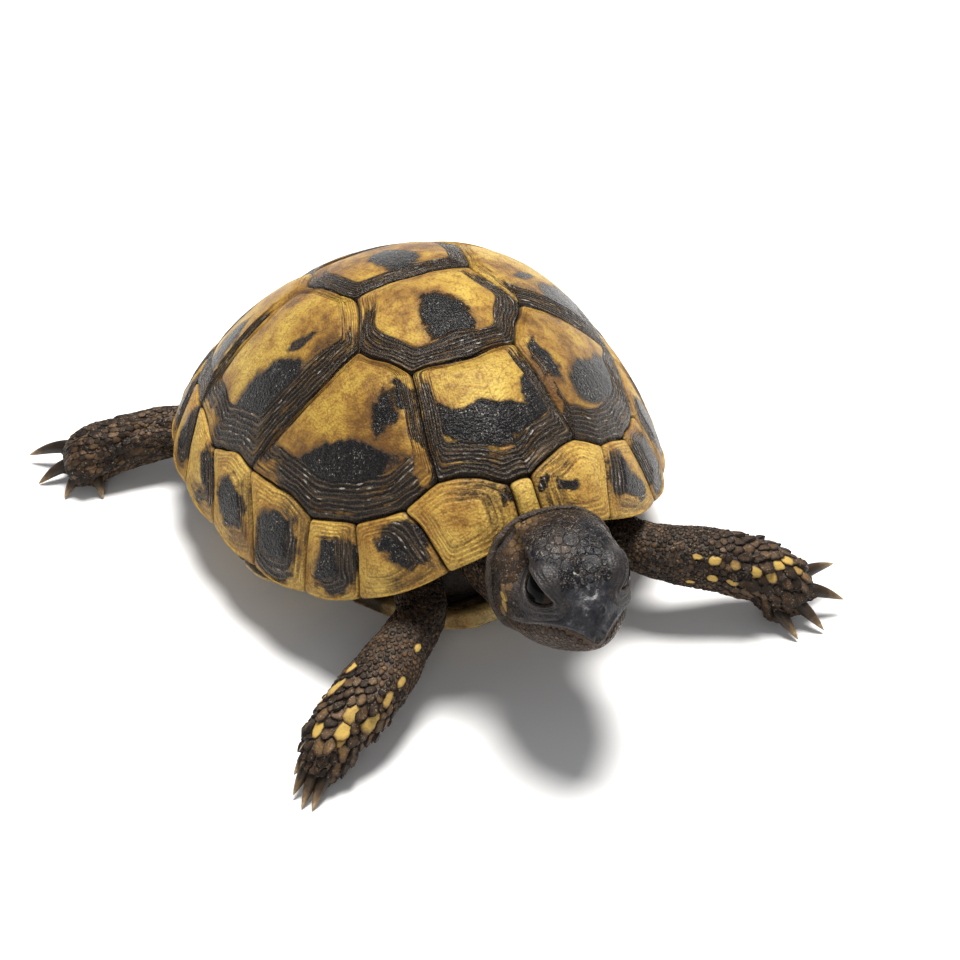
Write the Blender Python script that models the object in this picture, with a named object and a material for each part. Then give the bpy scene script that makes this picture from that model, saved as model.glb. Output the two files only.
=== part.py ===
"""A young Hermann's tortoise, walking with its head up: a still, life-size museum model.

Sizes are in millimetres and become metres where a mesh is made. The model is built round the
shell: +Z is up from the floor, the head looks along -Y and the animal's left side is +X. At the
end everything shifts together, so that the origin is under the middle of the whole animal.
"""
import math

import bmesh
import bpy
from mathutils import Matrix, Vector

MM = 0.001
GAP = 0.3                      # clearance between neighbouring solids
UP = Vector((0, 0, 1))

# Carapace: a domed shell over an egg-shaped, squarish rim
SHELL_LENGTH = 52.0
SHELL_WIDTH = 44.2
SHELL_HEIGHT = 27.4
PLAN_POWER = 2.36              # 2 is an ellipse, more is squarer
EGG = 0.13                     # how much wider the rear half is
PEAK_SHIFT = -3.5              # the top sits in front of the middle
RIM_SIDE, RIM_FRONT_RISE, RIM_REAR_RISE = 7.0, 9.0, 3.6
PROFILE_POWER, PROFILE_CUT = 2.06, 0.956
PROFILE_ROUND_SIDE, PROFILE_ROUND_END = 0.79, 0.89     # less is fuller in the shoulder
SCALLOP = 0.012                # how far each rim plate bows out, as a share of the radius
PLATE = 1.3                    # thickness of a shell plate
PLATE_CROWN = 0.3              # how far a plate's middle stands above the dome
SEAM_STEP = 3.4                # length of one straight piece of a plate's edge

# Seam corners on the unit disc of the dome, for the animal's left: (across, towards the tail)
NUCHAL_V1 = (0.051, -0.846)
V1_M1_C1 = (0.325, -0.690)
V1_V2_C1 = (0.240, -0.329)
V1_V2_MIDDLE = (0.0, -0.385)
V2_C1_C2 = (0.359, -0.126)
C1_C2_MIDDLE = (0.600, -0.143)
V2_V3_C2 = (0.240, 0.098)
V3_C2_C3 = (0.288, 0.384)
V3_V4_C3 = (0.215, 0.545)
V4_C3_C4 = (0.235, 0.690)
V4_V5_C4 = (0.125, 0.790)
TAIL_TOP = (0.0, 0.915)
# Upper end of the seam between marginal k and k + 1, and its lower end in degrees from the front
MARGINAL_TOPS = [(0.459, -0.673), (0.609, -0.578), (0.736, -0.433), (0.832, -0.102), (0.866, 0.146),
                 (0.790, 0.369), (0.705, 0.540), (0.610, 0.660), (0.500, 0.755), (0.370, 0.830),
                 (0.170, 0.895)]
RIM_SEAMS = [22.6, 43.1, 56.3, 70.8, 87.0, 103.0, 117.0, 130.0, 142.0, 154.0, 168.0]
NUCHAL_HALF_ANGLE = 3.2

# Plastron: y of each cross seam, and the half width at points along it
PLASTRON_FLOOR = 1.1
BRIDGE_START, BRIDGE_END, BRIDGE_TOP = 10.5, 21.0, 5.35
GULAR_START, GULAR_LIFT = -13.5, 0.033
ANAL_START, ANAL_LIFT = 15.0, 0.012
PLASTRON_BANDS = [
    ("gular", -21.6, -17.4), ("humeral", -17.4, -10.6), ("pectoral", -10.6, -5.4),
    ("abdominal", -5.4, 8.0), ("femoral", 8.0, 15.6), ("anal", 15.6, 22.6)]
PLASTRON_EDGE = [(-21.6, 4.4), (-19.5, 6.6), (-17.4, 8.2), (-14.0, 10.4), (-11.2, 11.6), (-9.6, 15.0),
                 (-7.6, 20.2), (-5.4, 21.0), (4.0, 21.0), (6.6, 20.2), (8.6, 16.0), (10.4, 12.2),
                 (15.6, 10.8), (19.5, 8.4), (22.6, 4.6)]

# Trunk inside the shell: how far out on the disc its wall stands at the front, sides and rear
TRUNK_FRONT, TRUNK_SIDE, TRUNK_REAR = 0.68, 0.79, 0.74
TRUNK_COLUMNS = 32

# Head: local axes are forward, left and up from its middle
HEAD_CENTRE = Vector((0.0, -31.5, 14.2))
HEAD_YAW, HEAD_PITCH, HEAD_ROLL = math.radians(-3.5), math.radians(20), math.radians(-4)
HEAD_STATIONS = [  # forward, half width, top, bottom, squareness of the section
    (-5.0, 3.9, 1.4, -4.0, 2.1), (-4.3, 4.7, 3.6, -4.6, 2.2), (-3.2, 5.25, 5.2, -4.8, 2.3),
    (-1.8, 5.5, 6.0, -4.9, 2.35), (0.2, 5.45, 5.95, -4.8, 2.4), (2.0, 4.95, 5.35, -4.6, 2.4),
    (3.6, 4.15, 4.35, -4.3, 2.35), (5.0, 3.1, 2.9, -3.9, 2.3), (6.0, 2.2, 1.5, -3.5, 2.2),
    (6.7, 1.3, 0.5, -3.0, 2.1), (7.1, 0.6, -0.6, -2.5, 2.0)]
HEAD_SIDES = 20
EYE_PLACE, EYE_RADIUS = (3.4, 2.4, 1.8), 2.0           # in head axes
MOUTH_CORNER, MOUTH_BEND, MOUTH_TIP = (-0.6, -1.8), (5.6, -1.1), (7.4, -2.7)    # forward and up
JAW_REAR = (-2.1, -6.0)

NECK = [  # centre, half width and half height of upright sections, from the trunk forward
    ((0.1, -14.0, 9.6), 5.2, 4.6), ((0.1, -20.0, 9.7), 5.0, 4.3), ((0.1, -23.6, 10.3), 4.9, 4.1)]
HOOD_STATIONS = [  # the fold of skin round the back of the head, in head axes
    (-5.3, 5.0, 2.2, -5.2, 2.1), (-4.4, 5.9, 5.0, -5.6, 2.2), (-3.5, 6.2, 6.2, -5.7, 2.3),
    (-2.8, 6.05, 6.35, -5.5, 2.3)]
HOOD_RELIEF = 40                                       # half angle of the rim that the fold is trimmed to

TAIL = [((0.0, 15.5, 6.6), 2.6, 2.4), ((0.3, 20.5, 5.4), 2.2, 2.0), ((0.8, 24.0, 3.9), 1.4, 1.3),
        ((1.3, 26.3, 2.6), 0.7, 0.65), ((1.5, 27.3, 2.0), 0.25, 0.25)]

# Limbs: stations are (centre, half width, half height); the leg ends and the foot starts at
# station "foot"; a claw is its base and its tip
LIMBS = {
    "front_right": dict(
        stations=[((-7.2, -13.5, 7.4), 2.6, 2.6), ((-8.9, -20.4, 6.5), 2.3, 2.2),
                  ((-11.6, -23.2, 6.1), 2.5, 2.4), ((-14.3, -25.3, 5.5), 2.9, 2.6),
                  ((-17.3, -27.0, 4.6), 3.05, 2.5), ((-19.9, -28.2, 3.6), 2.6, 2.4),
                  ((-21.7, -29.2, 2.1), 2.1, 2.4), ((-22.9, -30.0, 1.4), 1.4, 1.7)],
        foot=3,
        claws=[((-21.9, -30.4, 1.3), (-24.2, -32.5, 0.15)), ((-22.5, -29.8, 1.6), (-24.9, -31.9, 0.15)),
               ((-22.7, -29.1, 2.0), (-25.1, -30.5, 0.5)), ((-22.2, -28.4, 2.6), (-24.5, -29.3, 1.5)),
               ((-20.9, -28.8, 4.1), (-23.6, -28.7, 3.4))]),
    "front_left": dict(
        stations=[((7.4, -13.5, 7.6), 2.6, 2.6), ((10.6, -21.2, 7.4), 2.4, 2.3),
                  ((13.1, -23.9, 7.0), 2.65, 2.65), ((15.8, -25.3, 6.4), 2.85, 2.85),
                  ((18.5, -26.5, 5.5), 2.95, 2.9), ((21.0, -27.7, 4.4), 2.8, 2.8),
                  ((22.9, -28.9, 2.45), 2.6, 2.85), ((23.9, -29.6, 1.9), 1.8, 2.1)],
        foot=3,
        claws=[((21.0, -30.2, 1.6), (21.7, -33.0, 0.3)), ((22.9, -30.4, 1.9), (24.3, -33.1, 0.4)),
               ((24.3, -29.9, 2.5), (27.3, -31.4, 1.5)), ((24.3, -28.5, 3.1), (28.2, -28.1, 2.9)),
               ((23.2, -27.5, 2.6), (26.1, -26.2, 1.8))]),
    "hind_right": dict(
        stations=[((-10.6, 12.0, 5.9), 3.0, 2.5), ((-15.2, 15.6, 4.9), 2.9, 2.2),
                  ((-18.6, 17.9, 4.3), 2.8, 2.3), ((-21.6, 18.9, 4.1), 2.8, 2.6),
                  ((-24.6, 19.5, 3.8), 2.9, 2.7), ((-27.3, 20.2, 3.2), 3.2, 2.7),
                  ((-29.2, 20.8, 2.3), 3.5, 2.5), ((-30.4, 21.1, 1.6), 2.8, 1.7)],
        foot=3,
        claws=[((-30.2, 23.7, 2.1), (-33.9, 26.1, 0.9)), ((-30.8, 21.5, 1.5), (-34.1, 21.9, 0.15)),
               ((-30.2, 19.5, 1.4), (-32.3, 18.3, 0.15)), ((-28.7, 18.5, 1.4), (-28.8, 16.5, 0.15))]),
    "hind_left": dict(
        stations=[((9.4, 11.0, 6.2), 3.0, 2.6), ((12.4, 13.4, 5.6), 2.9, 2.5),
                  ((14.6, 15.4, 5.0), 2.8, 2.6), ((15.6, 17.6, 4.4), 2.8, 2.6),
                  ((15.9, 19.6, 3.7), 2.8, 2.6), ((16.1, 21.2, 2.9), 2.9, 2.5),
                  ((16.4, 22.6, 2.1), 3.0, 2.3), ((16.6, 23.6, 1.5), 2.2, 1.5)],
        foot=3,
        claws=[((14.9, 23.0, 1.4), (14.1, 25.6, 0.15)), ((16.1, 23.7, 1.4), (16.0, 26.5, 0.15)),
               ((17.5, 23.4, 1.4), (18.4, 26.1, 0.15)), ((18.6, 22.3, 1.5), (20.8, 24.2, 0.15))]),
}
LIMB_SIDES = 12
SOLE_SNAP = 0.5                # ring points lower than this lie on the floor, which makes flat soles
CLAW_RADIUS = 0.62
CLAW_SIDES = 6
LEG_CUT = GAP                  # thin cut between a leg and its foot

# Colour, roughness and metallic value of each finish
FINISHES = {
    "shell": ((0.50, 0.32, 0.09, 1), 0.45, 0.0),
    "shell_edge": ((0.62, 0.42, 0.13, 1), 0.45, 0.0),
    "belly": ((0.55, 0.40, 0.16, 1), 0.5, 0.0),
    "skin": ((0.09, 0.07, 0.055, 1), 0.6, 0.0),
    "eye": ((0.012, 0.01, 0.009, 1), 0.1, 0.0),
}


# ---------------------------------------------------------------- scene and mesh helpers

def clear_scene():
    for obj in list(bpy.data.objects):
        bpy.data.objects.remove(obj)


def make_materials():
    made = {}
    for name, (colour, roughness, metallic) in FINISHES.items():
        material = bpy.data.materials.new(name)
        material.use_nodes = True
        shader = material.node_tree.nodes["Principled BSDF"]
        shader.inputs["Base Color"].default_value = colour
        shader.inputs["Roughness"].default_value = roughness
        shader.inputs["Metallic"].default_value = metallic
        made[name] = material
    return made


def add_object(name, points, faces, finish, root):
    """A closed mesh object from points in millimetres, its faces turned to point out."""
    mesh = bpy.data.meshes.new(name)
    mesh.from_pydata([Vector(p) * MM for p in points], [], faces)
    work = bmesh.new()
    work.from_mesh(mesh)
    bmesh.ops.recalc_face_normals(work, faces=work.faces)
    work.to_mesh(mesh)
    work.free()
    mesh.shade_smooth()
    mesh.set_sharp_from_angle(angle=math.radians(40))
    mesh.materials.append(MATERIALS[finish])
    obj = bpy.data.objects.new(name, mesh)
    bpy.context.collection.objects.link(obj)
    obj.parent = root
    return obj


def boolean(obj, tool, operation):
    """Cut or join obj with a tool object, which itself is left out of the model."""
    tool.hide_render = True
    tool.display_type = 'WIRE'
    modifier = obj.modifiers.new(operation.lower(), 'BOOLEAN')
    modifier.operation = operation
    modifier.object = tool
    modifier.solver = 'EXACT'
    modifier.use_self = True


def ring_faces(start_a, start_b, count):
    """Quads between two closed rings of count points."""
    return [(start_a + i, start_a + (i + 1) % count, start_b + (i + 1) % count, start_b + i)
            for i in range(count)]


def fan_faces(start, count, tip):
    return [(start + i, start + (i + 1) % count, tip) for i in range(count)]


def loft(rings):
    """Points and faces of a closed skin over rings of equal length, with a fan at each end."""
    count = len(rings[0])
    points = [p for ring in rings for p in ring]
    faces = []
    for k in range(len(rings) - 1):
        faces += ring_faces(k * count, (k + 1) * count, count)
    for ring, start in ((rings[0], 0), (rings[-1], (len(rings) - 1) * count)):
        points.append(sum(ring, Vector()) / count)
        faces += fan_faces(start, count, len(points) - 1)
    return points, faces


# ---------------------------------------------------------------- the dome and its plates

def profile(rho, cv):
    """Height share of the dome, 1 at the top and 0 on the rim; cv is how far the way runs lengthwise."""
    fullness = PROFILE_ROUND_SIDE + (PROFILE_ROUND_END - PROFILE_ROUND_SIDE) * cv * cv
    edge = (1 - PROFILE_CUT ** PROFILE_POWER) ** fullness
    here = (1 - (min(rho, 1.0) * PROFILE_CUT) ** PROFILE_POWER) ** fullness
    return (here - edge) / (1 - edge)


def dome(u, v):
    """Point of the dome over (u, v) on the unit disc, where v = -1 is the front of the rim."""
    rho = math.hypot(u, v)
    cu, cv = (u / rho, v / rho) if rho > 1e-9 else (0.0, 0.0)
    square = (abs(cu) ** PLAN_POWER + abs(cv) ** PLAN_POWER) ** (-1 / PLAN_POWER) if rho > 1e-9 else 1
    share = profile(rho, cv)
    rim = RIM_SIDE + RIM_FRONT_RISE * max(-cv, 0) ** 4 + RIM_REAR_RISE * max(cv, 0) ** 4
    x = square * u * SHELL_WIDTH / 2 * (1 + EGG * cv * square)
    y = square * v * SHELL_LENGTH / 2 + PEAK_SHIFT * share
    return Vector((x, y, rim * (1 - share) + SHELL_HEIGHT * share))


def dome_normal(u, v):
    rho = math.hypot(u, v)
    pull = min(1.0, 0.975 / rho) if rho > 0 else 1.0
    u, v, step = u * pull, v * pull, 0.01
    across = dome(u + step, v) - dome(u - step, v)
    along = dome(u, v + step) - dome(u, v - step)
    return across.cross(along).normalized()


def rim_point(degrees):
    angle = math.radians(degrees)
    return (math.sin(angle), -math.cos(angle))


def on_rim(corner):
    return math.hypot(*corner) > 0.999


def edge_points(start, end):
    """Disc points from start up to, not including, end: straight, or along the bowed rim."""
    steps = max(1, round((dome(*end) - dome(*start)).length / SEAM_STEP))
    points = []
    for k in range(steps):
        t = k / steps
        u, v = start[0] + (end[0] - start[0]) * t, start[1] + (end[1] - start[1]) * t
        if on_rim(start) and on_rim(end):
            bow = (1 + SCALLOP * math.sin(math.pi * t)) / math.hypot(u, v)
            u, v = u * bow, v * bow
        points.append((u, v))
    return points


def plate(name, corners, finish, root):
    """A domed shell plate inside its seams, PLATE thick, set back half a gap from each seam."""
    border = []
    for start, end in zip(corners, corners[1:] + corners[:1]):
        border += edge_points(start, end)
    count = len(border)
    middle = (sum(u for u, v in border) / count, sum(v for u, v in border) / count)
    sites = [dome(u, v) for u, v in border]
    normals = [dome_normal(u, v) for u, v in border]
    centre = dome(*middle)
    edge = []
    for i in range(count):
        inward = []
        for tangent in (sites[i] - sites[i - 1], sites[(i + 1) % count] - sites[i]):
            side = normals[i].cross(tangent).normalized()
            inward.append(side if side.dot(centre - sites[i]) > 0 else -side)
        mitre = (inward[0] + inward[1]) / max(0.4, 1 + inward[0].dot(inward[1]))
        edge.append(sites[i] + mitre * GAP / 2)
    inner_edge = [p - n * PLATE for p, n in zip(edge, normals)]
    outer_mid, inner_mid = [], []
    for u, v in border:
        mu, mv = middle[0] + (u - middle[0]) * 0.55, middle[1] + (v - middle[1]) * 0.55
        site, normal = dome(mu, mv), dome_normal(mu, mv)
        outer_mid.append(site + normal * PLATE_CROWN * 0.75)
        inner_mid.append(site - normal * PLATE)
    normal = dome_normal(*middle)
    points = edge + outer_mid + inner_edge + inner_mid
    points += [centre + normal * PLATE_CROWN, centre - normal * PLATE]
    faces = ring_faces(0, count, count) + fan_faces(count, count, 4 * count)
    faces += ring_faces(0, 2 * count, count)
    faces += ring_faces(2 * count, 3 * count, count) + fan_faces(3 * count, count, 4 * count + 1)
    return add_object(name, points, faces, finish, root)


def mirrored(corners):
    return [(-u, v) for u, v in reversed(corners)]


def both_sides(half):
    """Corners of a plate on the midline from those on the animal's left, front to rear."""
    return half + [(-u, v) for u, v in reversed(half) if abs(u) > 1e-6]


def build_carapace(root):
    tops = MARGINAL_TOPS
    nuchal_rim = rim_point(NUCHAL_HALF_ANGLE)
    vertebrals = [
        [NUCHAL_V1, V1_M1_C1, V1_V2_C1, V1_V2_MIDDLE], [V1_V2_MIDDLE, V1_V2_C1, V2_C1_C2, V2_V3_C2],
        [V2_V3_C2, V3_C2_C3, V3_V4_C3], [V3_V4_C3, V4_C3_C4, V4_V5_C4],
        [V4_V5_C4, tops[9], tops[10], TAIL_TOP]]
    costals = [
        [V1_M1_C1, tops[0], tops[1], tops[2], tops[3], C1_C2_MIDDLE, V2_C1_C2, V1_V2_C1],
        [V2_C1_C2, C1_C2_MIDDLE, tops[3], tops[4], tops[5], V3_C2_C3, V2_V3_C2],
        [V3_C2_C3, tops[5], tops[6], tops[7], V4_C3_C4, V3_V4_C3],
        [V4_C3_C4, tops[7], tops[8], tops[9], V4_V5_C4]]
    marginals = [[NUCHAL_V1, V1_M1_C1, tops[0], rim_point(RIM_SEAMS[0]), nuchal_rim]]
    for k in range(1, 11):
        marginals.append([tops[k - 1], tops[k], rim_point(RIM_SEAMS[k]), rim_point(RIM_SEAMS[k - 1])])
    supracaudal = [tops[10], TAIL_TOP, rim_point(180), rim_point(RIM_SEAMS[10])]

    plate("nuchal", both_sides([nuchal_rim, NUCHAL_V1]), "shell_edge", root)
    for k, half in enumerate(vertebrals, 1):
        plate(f"vertebral_{k}", both_sides(half), "shell", root)
    for kind, finish, outlines in (("costal", "shell", costals), ("marginal", "shell_edge", marginals)):
        for k, corners in enumerate(outlines, 1):
            plate(f"{kind}_{k}_left", corners, finish, root)
            plate(f"{kind}_{k}_right", mirrored(corners), finish, root)
    plate("supracaudal_left", supracaudal, "shell_edge", root)
    plate("supracaudal_right", mirrored(supracaudal), "shell_edge", root)


# ---------------------------------------------------------------- plastron and trunk

def belly_height(x, y):
    """Height of the plastron's underside."""
    out = min(1.0, max(0.0, (abs(x) - BRIDGE_START) / (BRIDGE_END - BRIDGE_START)))
    lift = (BRIDGE_TOP - PLASTRON_FLOOR) * out ** 1.6
    lift += GULAR_LIFT * max(0.0, GULAR_START - y) ** 2 + ANAL_LIFT * max(0.0, y - ANAL_START) ** 2
    return PLASTRON_FLOOR + lift


def belly_half_width(y):
    for (y0, w0), (y1, w1) in zip(PLASTRON_EDGE, PLASTRON_EDGE[1:]):
        if y <= y1:
            return w0 + (w1 - w0) * (y - y0) / (y1 - y0)
    return PLASTRON_EDGE[-1][1]


def plastron_band(name, front, rear, root):
    """One pair of belly plates, with the bridge wings that belong to it."""
    first = front if name == "gular" else front + GAP / 2
    last = rear if name == "anal" else rear - GAP / 2
    knots = [y for y, _ in PLASTRON_EDGE if first + 0.8 < y < last - 0.8]
    rows = [first] + knots + [last]
    columns = 9
    points = []
    for top in (0.0, PLATE):
        for y in rows:
            for k in range(columns):
                x = belly_half_width(y) * (2 * k / (columns - 1) - 1)
                shift = 0.0
                if name == "anal" and y == last:
                    shift = -2.4 * (1 - abs(x) / belly_half_width(y))     # the notch under the tail
                if name == "gular" and y == first:
                    shift = 0.9 * (1 - abs(x) / belly_half_width(y)) ** 2
                points.append((x, y + shift, belly_height(x, y) + top))
    faces = []
    layer = len(rows) * columns
    for j in range(len(rows) - 1):
        for k in range(columns - 1):
            a = j * columns + k
            quad = (a, a + 1, a + columns + 1, a + columns)
            faces += [quad, tuple(i + layer for i in quad)]
    rim = list(range(columns))
    rim += [j * columns + columns - 1 for j in range(1, len(rows))]
    rim += [(len(rows) - 1) * columns + k for k in range(columns - 2, -1, -1)]
    rim += [j * columns for j in range(len(rows) - 2, 0, -1)]
    for a, b in zip(rim, rim[1:] + rim[:1]):
        faces.append((a, b, b + layer, a + layer))
    return add_object(name, points, faces, "belly", root)


def trunk_reach(angle):
    """How far out on the disc the trunk's wall stands, at an angle in radians from the front."""
    front = max(0.0, math.cos(angle)) ** 1.5
    rear = max(0.0, -math.cos(angle)) ** 1.5
    return TRUNK_SIDE + (TRUNK_FRONT - TRUNK_SIDE) * front + (TRUNK_REAR - TRUNK_SIDE) * rear


def trunk_mesh(grow):
    """The body inside the shell; grow thickens it by that much all round, for a cutter."""
    depth = PLATE + GAP + 0.1 - grow
    rings = []
    for share in (0.0, 0.3, 0.58, 0.82, 1.0):
        ring = []
        for k in range(TRUNK_COLUMNS):
            angle = 2 * math.pi * k / TRUNK_COLUMNS
            reach = max(share, 0.08) * trunk_reach(angle)
            u, v = reach * math.sin(angle), -reach * math.cos(angle)
            ring.append(dome(u, v) - dome_normal(u, v) * depth)
        rings.append(ring)
    edge = rings[-1]
    foot = []
    for p in edge:
        flat = Vector((p.x, p.y, 0)) * 0.93
        flat += flat.normalized() * grow
        foot.append(Vector((flat.x, flat.y, belly_height(flat.x, flat.y) + PLATE + GAP + 0.1 - grow)))
    waist = [(a + b) / 2 + Vector((a.x, a.y, 0)).normalized() * grow * 0.7 for a, b in zip(edge, foot)]
    rings += [waist, foot]
    for share in (0.55, 0.1):
        ring = []
        for p in foot:
            x, y = p.x * share, p.y * share
            ring.append(Vector((x, y, belly_height(x, y) + PLATE + GAP + 0.1 - grow)))
        rings.append(ring)
    return loft(rings)


# ---------------------------------------------------------------- soft parts

def tube(stations, sides, first_facing=None, last_facing=None):
    """Closed elliptical tube along its stations, wide across and flat up and down."""
    centres = [Vector(c) for c, _, _ in stations]
    rings = []
    for i, (_, wide, high) in enumerate(stations):
        ahead = (centres[min(i + 1, len(centres) - 1)] - centres[max(i - 1, 0)]).normalized()
        if i == 0 and first_facing:
            ahead = first_facing
        if i == len(centres) - 1 and last_facing:
            ahead = last_facing
        side = ahead.cross(UP).normalized()
        above = side.cross(ahead)
        ring = []
        for k in range(sides):
            angle = 2 * math.pi * k / sides
            p = centres[i] + side * wide * math.cos(angle) + above * high * math.sin(angle)
            ring.append(Vector((p.x, p.y, p.z if p.z > SOLE_SNAP else 0.0)))
        rings.append(ring)
    return loft(rings)


def claw_mesh(base, tip):
    """A slightly hooked claw, a cone of two lengths."""
    base, tip = Vector(base), Vector(tip)
    ahead = (tip - base).normalized()
    side = ahead.cross(UP).normalized()
    above = side.cross(ahead)
    start = base - ahead * 1.2
    knee = base.lerp(tip, 0.55) + above * 0.22
    rings = []
    for centre, radius in ((start, CLAW_RADIUS), (knee, CLAW_RADIUS * 0.66), (tip, 0.12)):
        ring = []
        for k in range(CLAW_SIDES):
            angle = 2 * math.pi * k / CLAW_SIDES
            p = centre + (side * math.cos(angle) + above * math.sin(angle)) * radius
            ring.append(Vector((p.x, p.y, max(p.z, 0.0))))
        rings.append(ring)
    return loft(rings)


def build_limb(name, limb, trunk_cutter, root):
    """An upper leg fitted to the trunk, and a foot with its claws grown on."""
    stations, foot_start = limb["stations"], limb["foot"]
    front, middle, rear = (Vector(stations[i][0]) for i in (foot_start - 1, foot_start, foot_start + 1))
    ahead = (rear - front).normalized()
    _, wide, high = stations[foot_start]
    leg_end = (tuple(middle - ahead * LEG_CUT / 2), wide, high)
    foot_first = (tuple(middle + ahead * LEG_CUT / 2), wide, high)
    leg_tube = tube(stations[:foot_start] + [leg_end], LIMB_SIDES, last_facing=ahead)
    leg = add_object(f"leg_{name}", *leg_tube, "skin", root)
    boolean(leg, trunk_cutter, 'DIFFERENCE')
    foot_tube = tube([foot_first] + stations[foot_start + 1:], LIMB_SIDES, first_facing=ahead)
    foot = add_object(f"foot_{name}", *foot_tube, "skin", root)
    for k, (base, tip) in enumerate(limb["claws"], 1):
        claw = add_object(f"claw_tool_{name}_{k}", *claw_mesh(base, tip), "skin", root)
        boolean(foot, claw, 'UNION')


def head_matrix():
    """From head axes (forward, left, up) to the animal's axes."""
    turn = Matrix.Rotation(HEAD_YAW, 3, 'Z') @ Matrix.Rotation(-HEAD_PITCH, 3, 'X')
    turn = turn @ Matrix.Rotation(-HEAD_ROLL, 3, 'Y')
    axes = Matrix(((0, 1, 0), (-1, 0, 0), (0, 0, 1)))
    return (turn @ axes).to_4x4()


def to_world(local):
    return HEAD_CENTRE + head_matrix().to_3x3() @ Vector(local)


def power_ring(forward, wide, top, bottom, square, grow=0.0):
    """A rounded-square section of the head."""
    middle, half = (top + bottom) / 2, (top - bottom) / 2 + grow
    ring = []
    for k in range(HEAD_SIDES):
        angle = 2 * math.pi * k / HEAD_SIDES
        c, s = math.cos(angle), math.sin(angle)
        left = math.copysign(abs(c) ** (2 / square), c) * (wide + grow)
        up = middle + math.copysign(abs(s) ** (2 / square), s) * half
        ring.append(to_world((forward, left, up)))
    return ring


def head_solid(grow=0.0):
    rings = []
    for k, (forward, wide, top, bottom, square) in enumerate(HEAD_STATIONS):
        shift = -grow if k == 0 else grow if k == len(HEAD_STATIONS) - 1 else 0
        rings.append(power_ring(forward + shift, wide, top, bottom, square, grow))
    return loft(rings)


def jaw_block(grow):
    """The wedge of the head that is its lower jaw, below the line of the mouth."""
    outline = [(MOUTH_CORNER[0] - grow, MOUTH_CORNER[1] + grow), (MOUTH_BEND[0], MOUTH_BEND[1] + grow),
               (MOUTH_TIP[0] + grow, MOUTH_TIP[1] + grow), (MOUTH_TIP[0] + grow, JAW_REAR[1]),
               (JAW_REAR[0] - grow, JAW_REAR[1])]
    points = [to_world((forward, side, up)) for side in (-8, 8) for forward, up in outline]
    count = len(outline)
    faces = [tuple(range(count)), tuple(range(count, 2 * count))] + ring_faces(0, count, count)
    return points, faces


def eye_ball(side, radius):
    """A ball of rings about its left-right axis."""
    forward, left, up = EYE_PLACE
    rings = []
    for j in range(1, 7):
        polar = math.pi * j / 7
        ring = []
        for k in range(12):
            angle = 2 * math.pi * k / 12
            flat = radius * math.sin(polar)
            ring.append(to_world((forward + flat * math.cos(angle),
                                  side * left + radius * math.cos(polar),
                                  up + flat * math.sin(angle))))
        rings.append(ring)
    points, faces = loft(rings)
    points[-2] = to_world((forward, side * left + radius, up))
    points[-1] = to_world((forward, side * left - radius, up))
    return points, faces


def build_head(root):
    head = add_object("head", *head_solid(), "skin", root)
    boolean(head, add_object("jaw_tool_wide", *jaw_block(GAP), "skin", root), 'DIFFERENCE')
    for name, side in (("left", 1), ("right", -1)):
        add_object(f"eye_{name}", *eye_ball(side, EYE_RADIUS), "eye", root)
        socket = add_object(f"socket_tool_{name}", *eye_ball(side, EYE_RADIUS + GAP), "skin", root)
        boolean(head, socket, 'DIFFERENCE')
    jaw = add_object("lower_jaw", *head_solid(), "skin", root)
    boolean(jaw, add_object("jaw_tool", *jaw_block(0.0), "skin", root), 'INTERSECT')


def rim_cutter():
    """The front of the carapace's rim with its clearance, to trim the fold of neck skin to."""
    rings = []
    for degrees in range(-HOOD_RELIEF, HOOD_RELIEF + 1, 8):
        u, v = rim_point(degrees)
        edge, edge_normal = dome(u, v), dome_normal(u, v)
        inner, inner_normal = dome(0.82 * u, 0.82 * v), dome_normal(0.82 * u, 0.82 * v)
        ahead = Vector((u, v, 0)) * GAP
        rings.append([edge + ahead + edge_normal * GAP, inner + inner_normal * (PLATE_CROWN + GAP),
                      inner - inner_normal * (PLATE + GAP), edge + ahead - edge_normal * (PLATE + GAP)])
    return loft(rings)


def build_neck(trunk_cutter, root):
    rings = []
    for centre, wide, high in NECK:
        angles = [2 * math.pi * k / HEAD_SIDES for k in range(HEAD_SIDES)]
        rings.append([Vector(centre) + Vector((wide * math.cos(a), 0, high * math.sin(a))) for a in angles])
    rings += [power_ring(*station) for station in HOOD_STATIONS]
    neck = add_object("neck", *loft(rings), "skin", root)
    boolean(neck, trunk_cutter, 'DIFFERENCE')
    boolean(neck, add_object("rim_tool", *rim_cutter(), "skin", root), 'DIFFERENCE')
    boolean(neck, add_object("head_tool", *head_solid(GAP), "skin", root), 'DIFFERENCE')


def middle_of_model():
    """Plan middle of every visible solid, in metres."""
    graph = bpy.context.evaluated_depsgraph_get()
    corners = []
    for obj in bpy.data.objects:
        if obj.type == 'MESH' and not obj.hide_render:
            corners += [obj.matrix_world @ v.co for v in obj.evaluated_get(graph).data.vertices]
    spans = [(min(c[i] for c in corners), max(c[i] for c in corners)) for i in range(2)]
    return [(low + high) / 2 for low, high in spans]


clear_scene()
MATERIALS = make_materials()
tortoise = bpy.data.objects.new("tortoise", None)
bpy.context.collection.objects.link(tortoise)

build_carapace(tortoise)
for band in PLASTRON_BANDS:
    plastron_band(*band, tortoise)
add_object("trunk", *trunk_mesh(0.0), "skin", tortoise)
trunk_tool = add_object("trunk_tool", *trunk_mesh(GAP), "skin", tortoise)
build_neck(trunk_tool, tortoise)
build_head(tortoise)
tail = add_object("tail", *tube(TAIL, 10), "skin", tortoise)
boolean(tail, trunk_tool, 'DIFFERENCE')
for limb_name, limb_sizes in LIMBS.items():
    build_limb(limb_name, limb_sizes, trunk_tool, tortoise)

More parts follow.
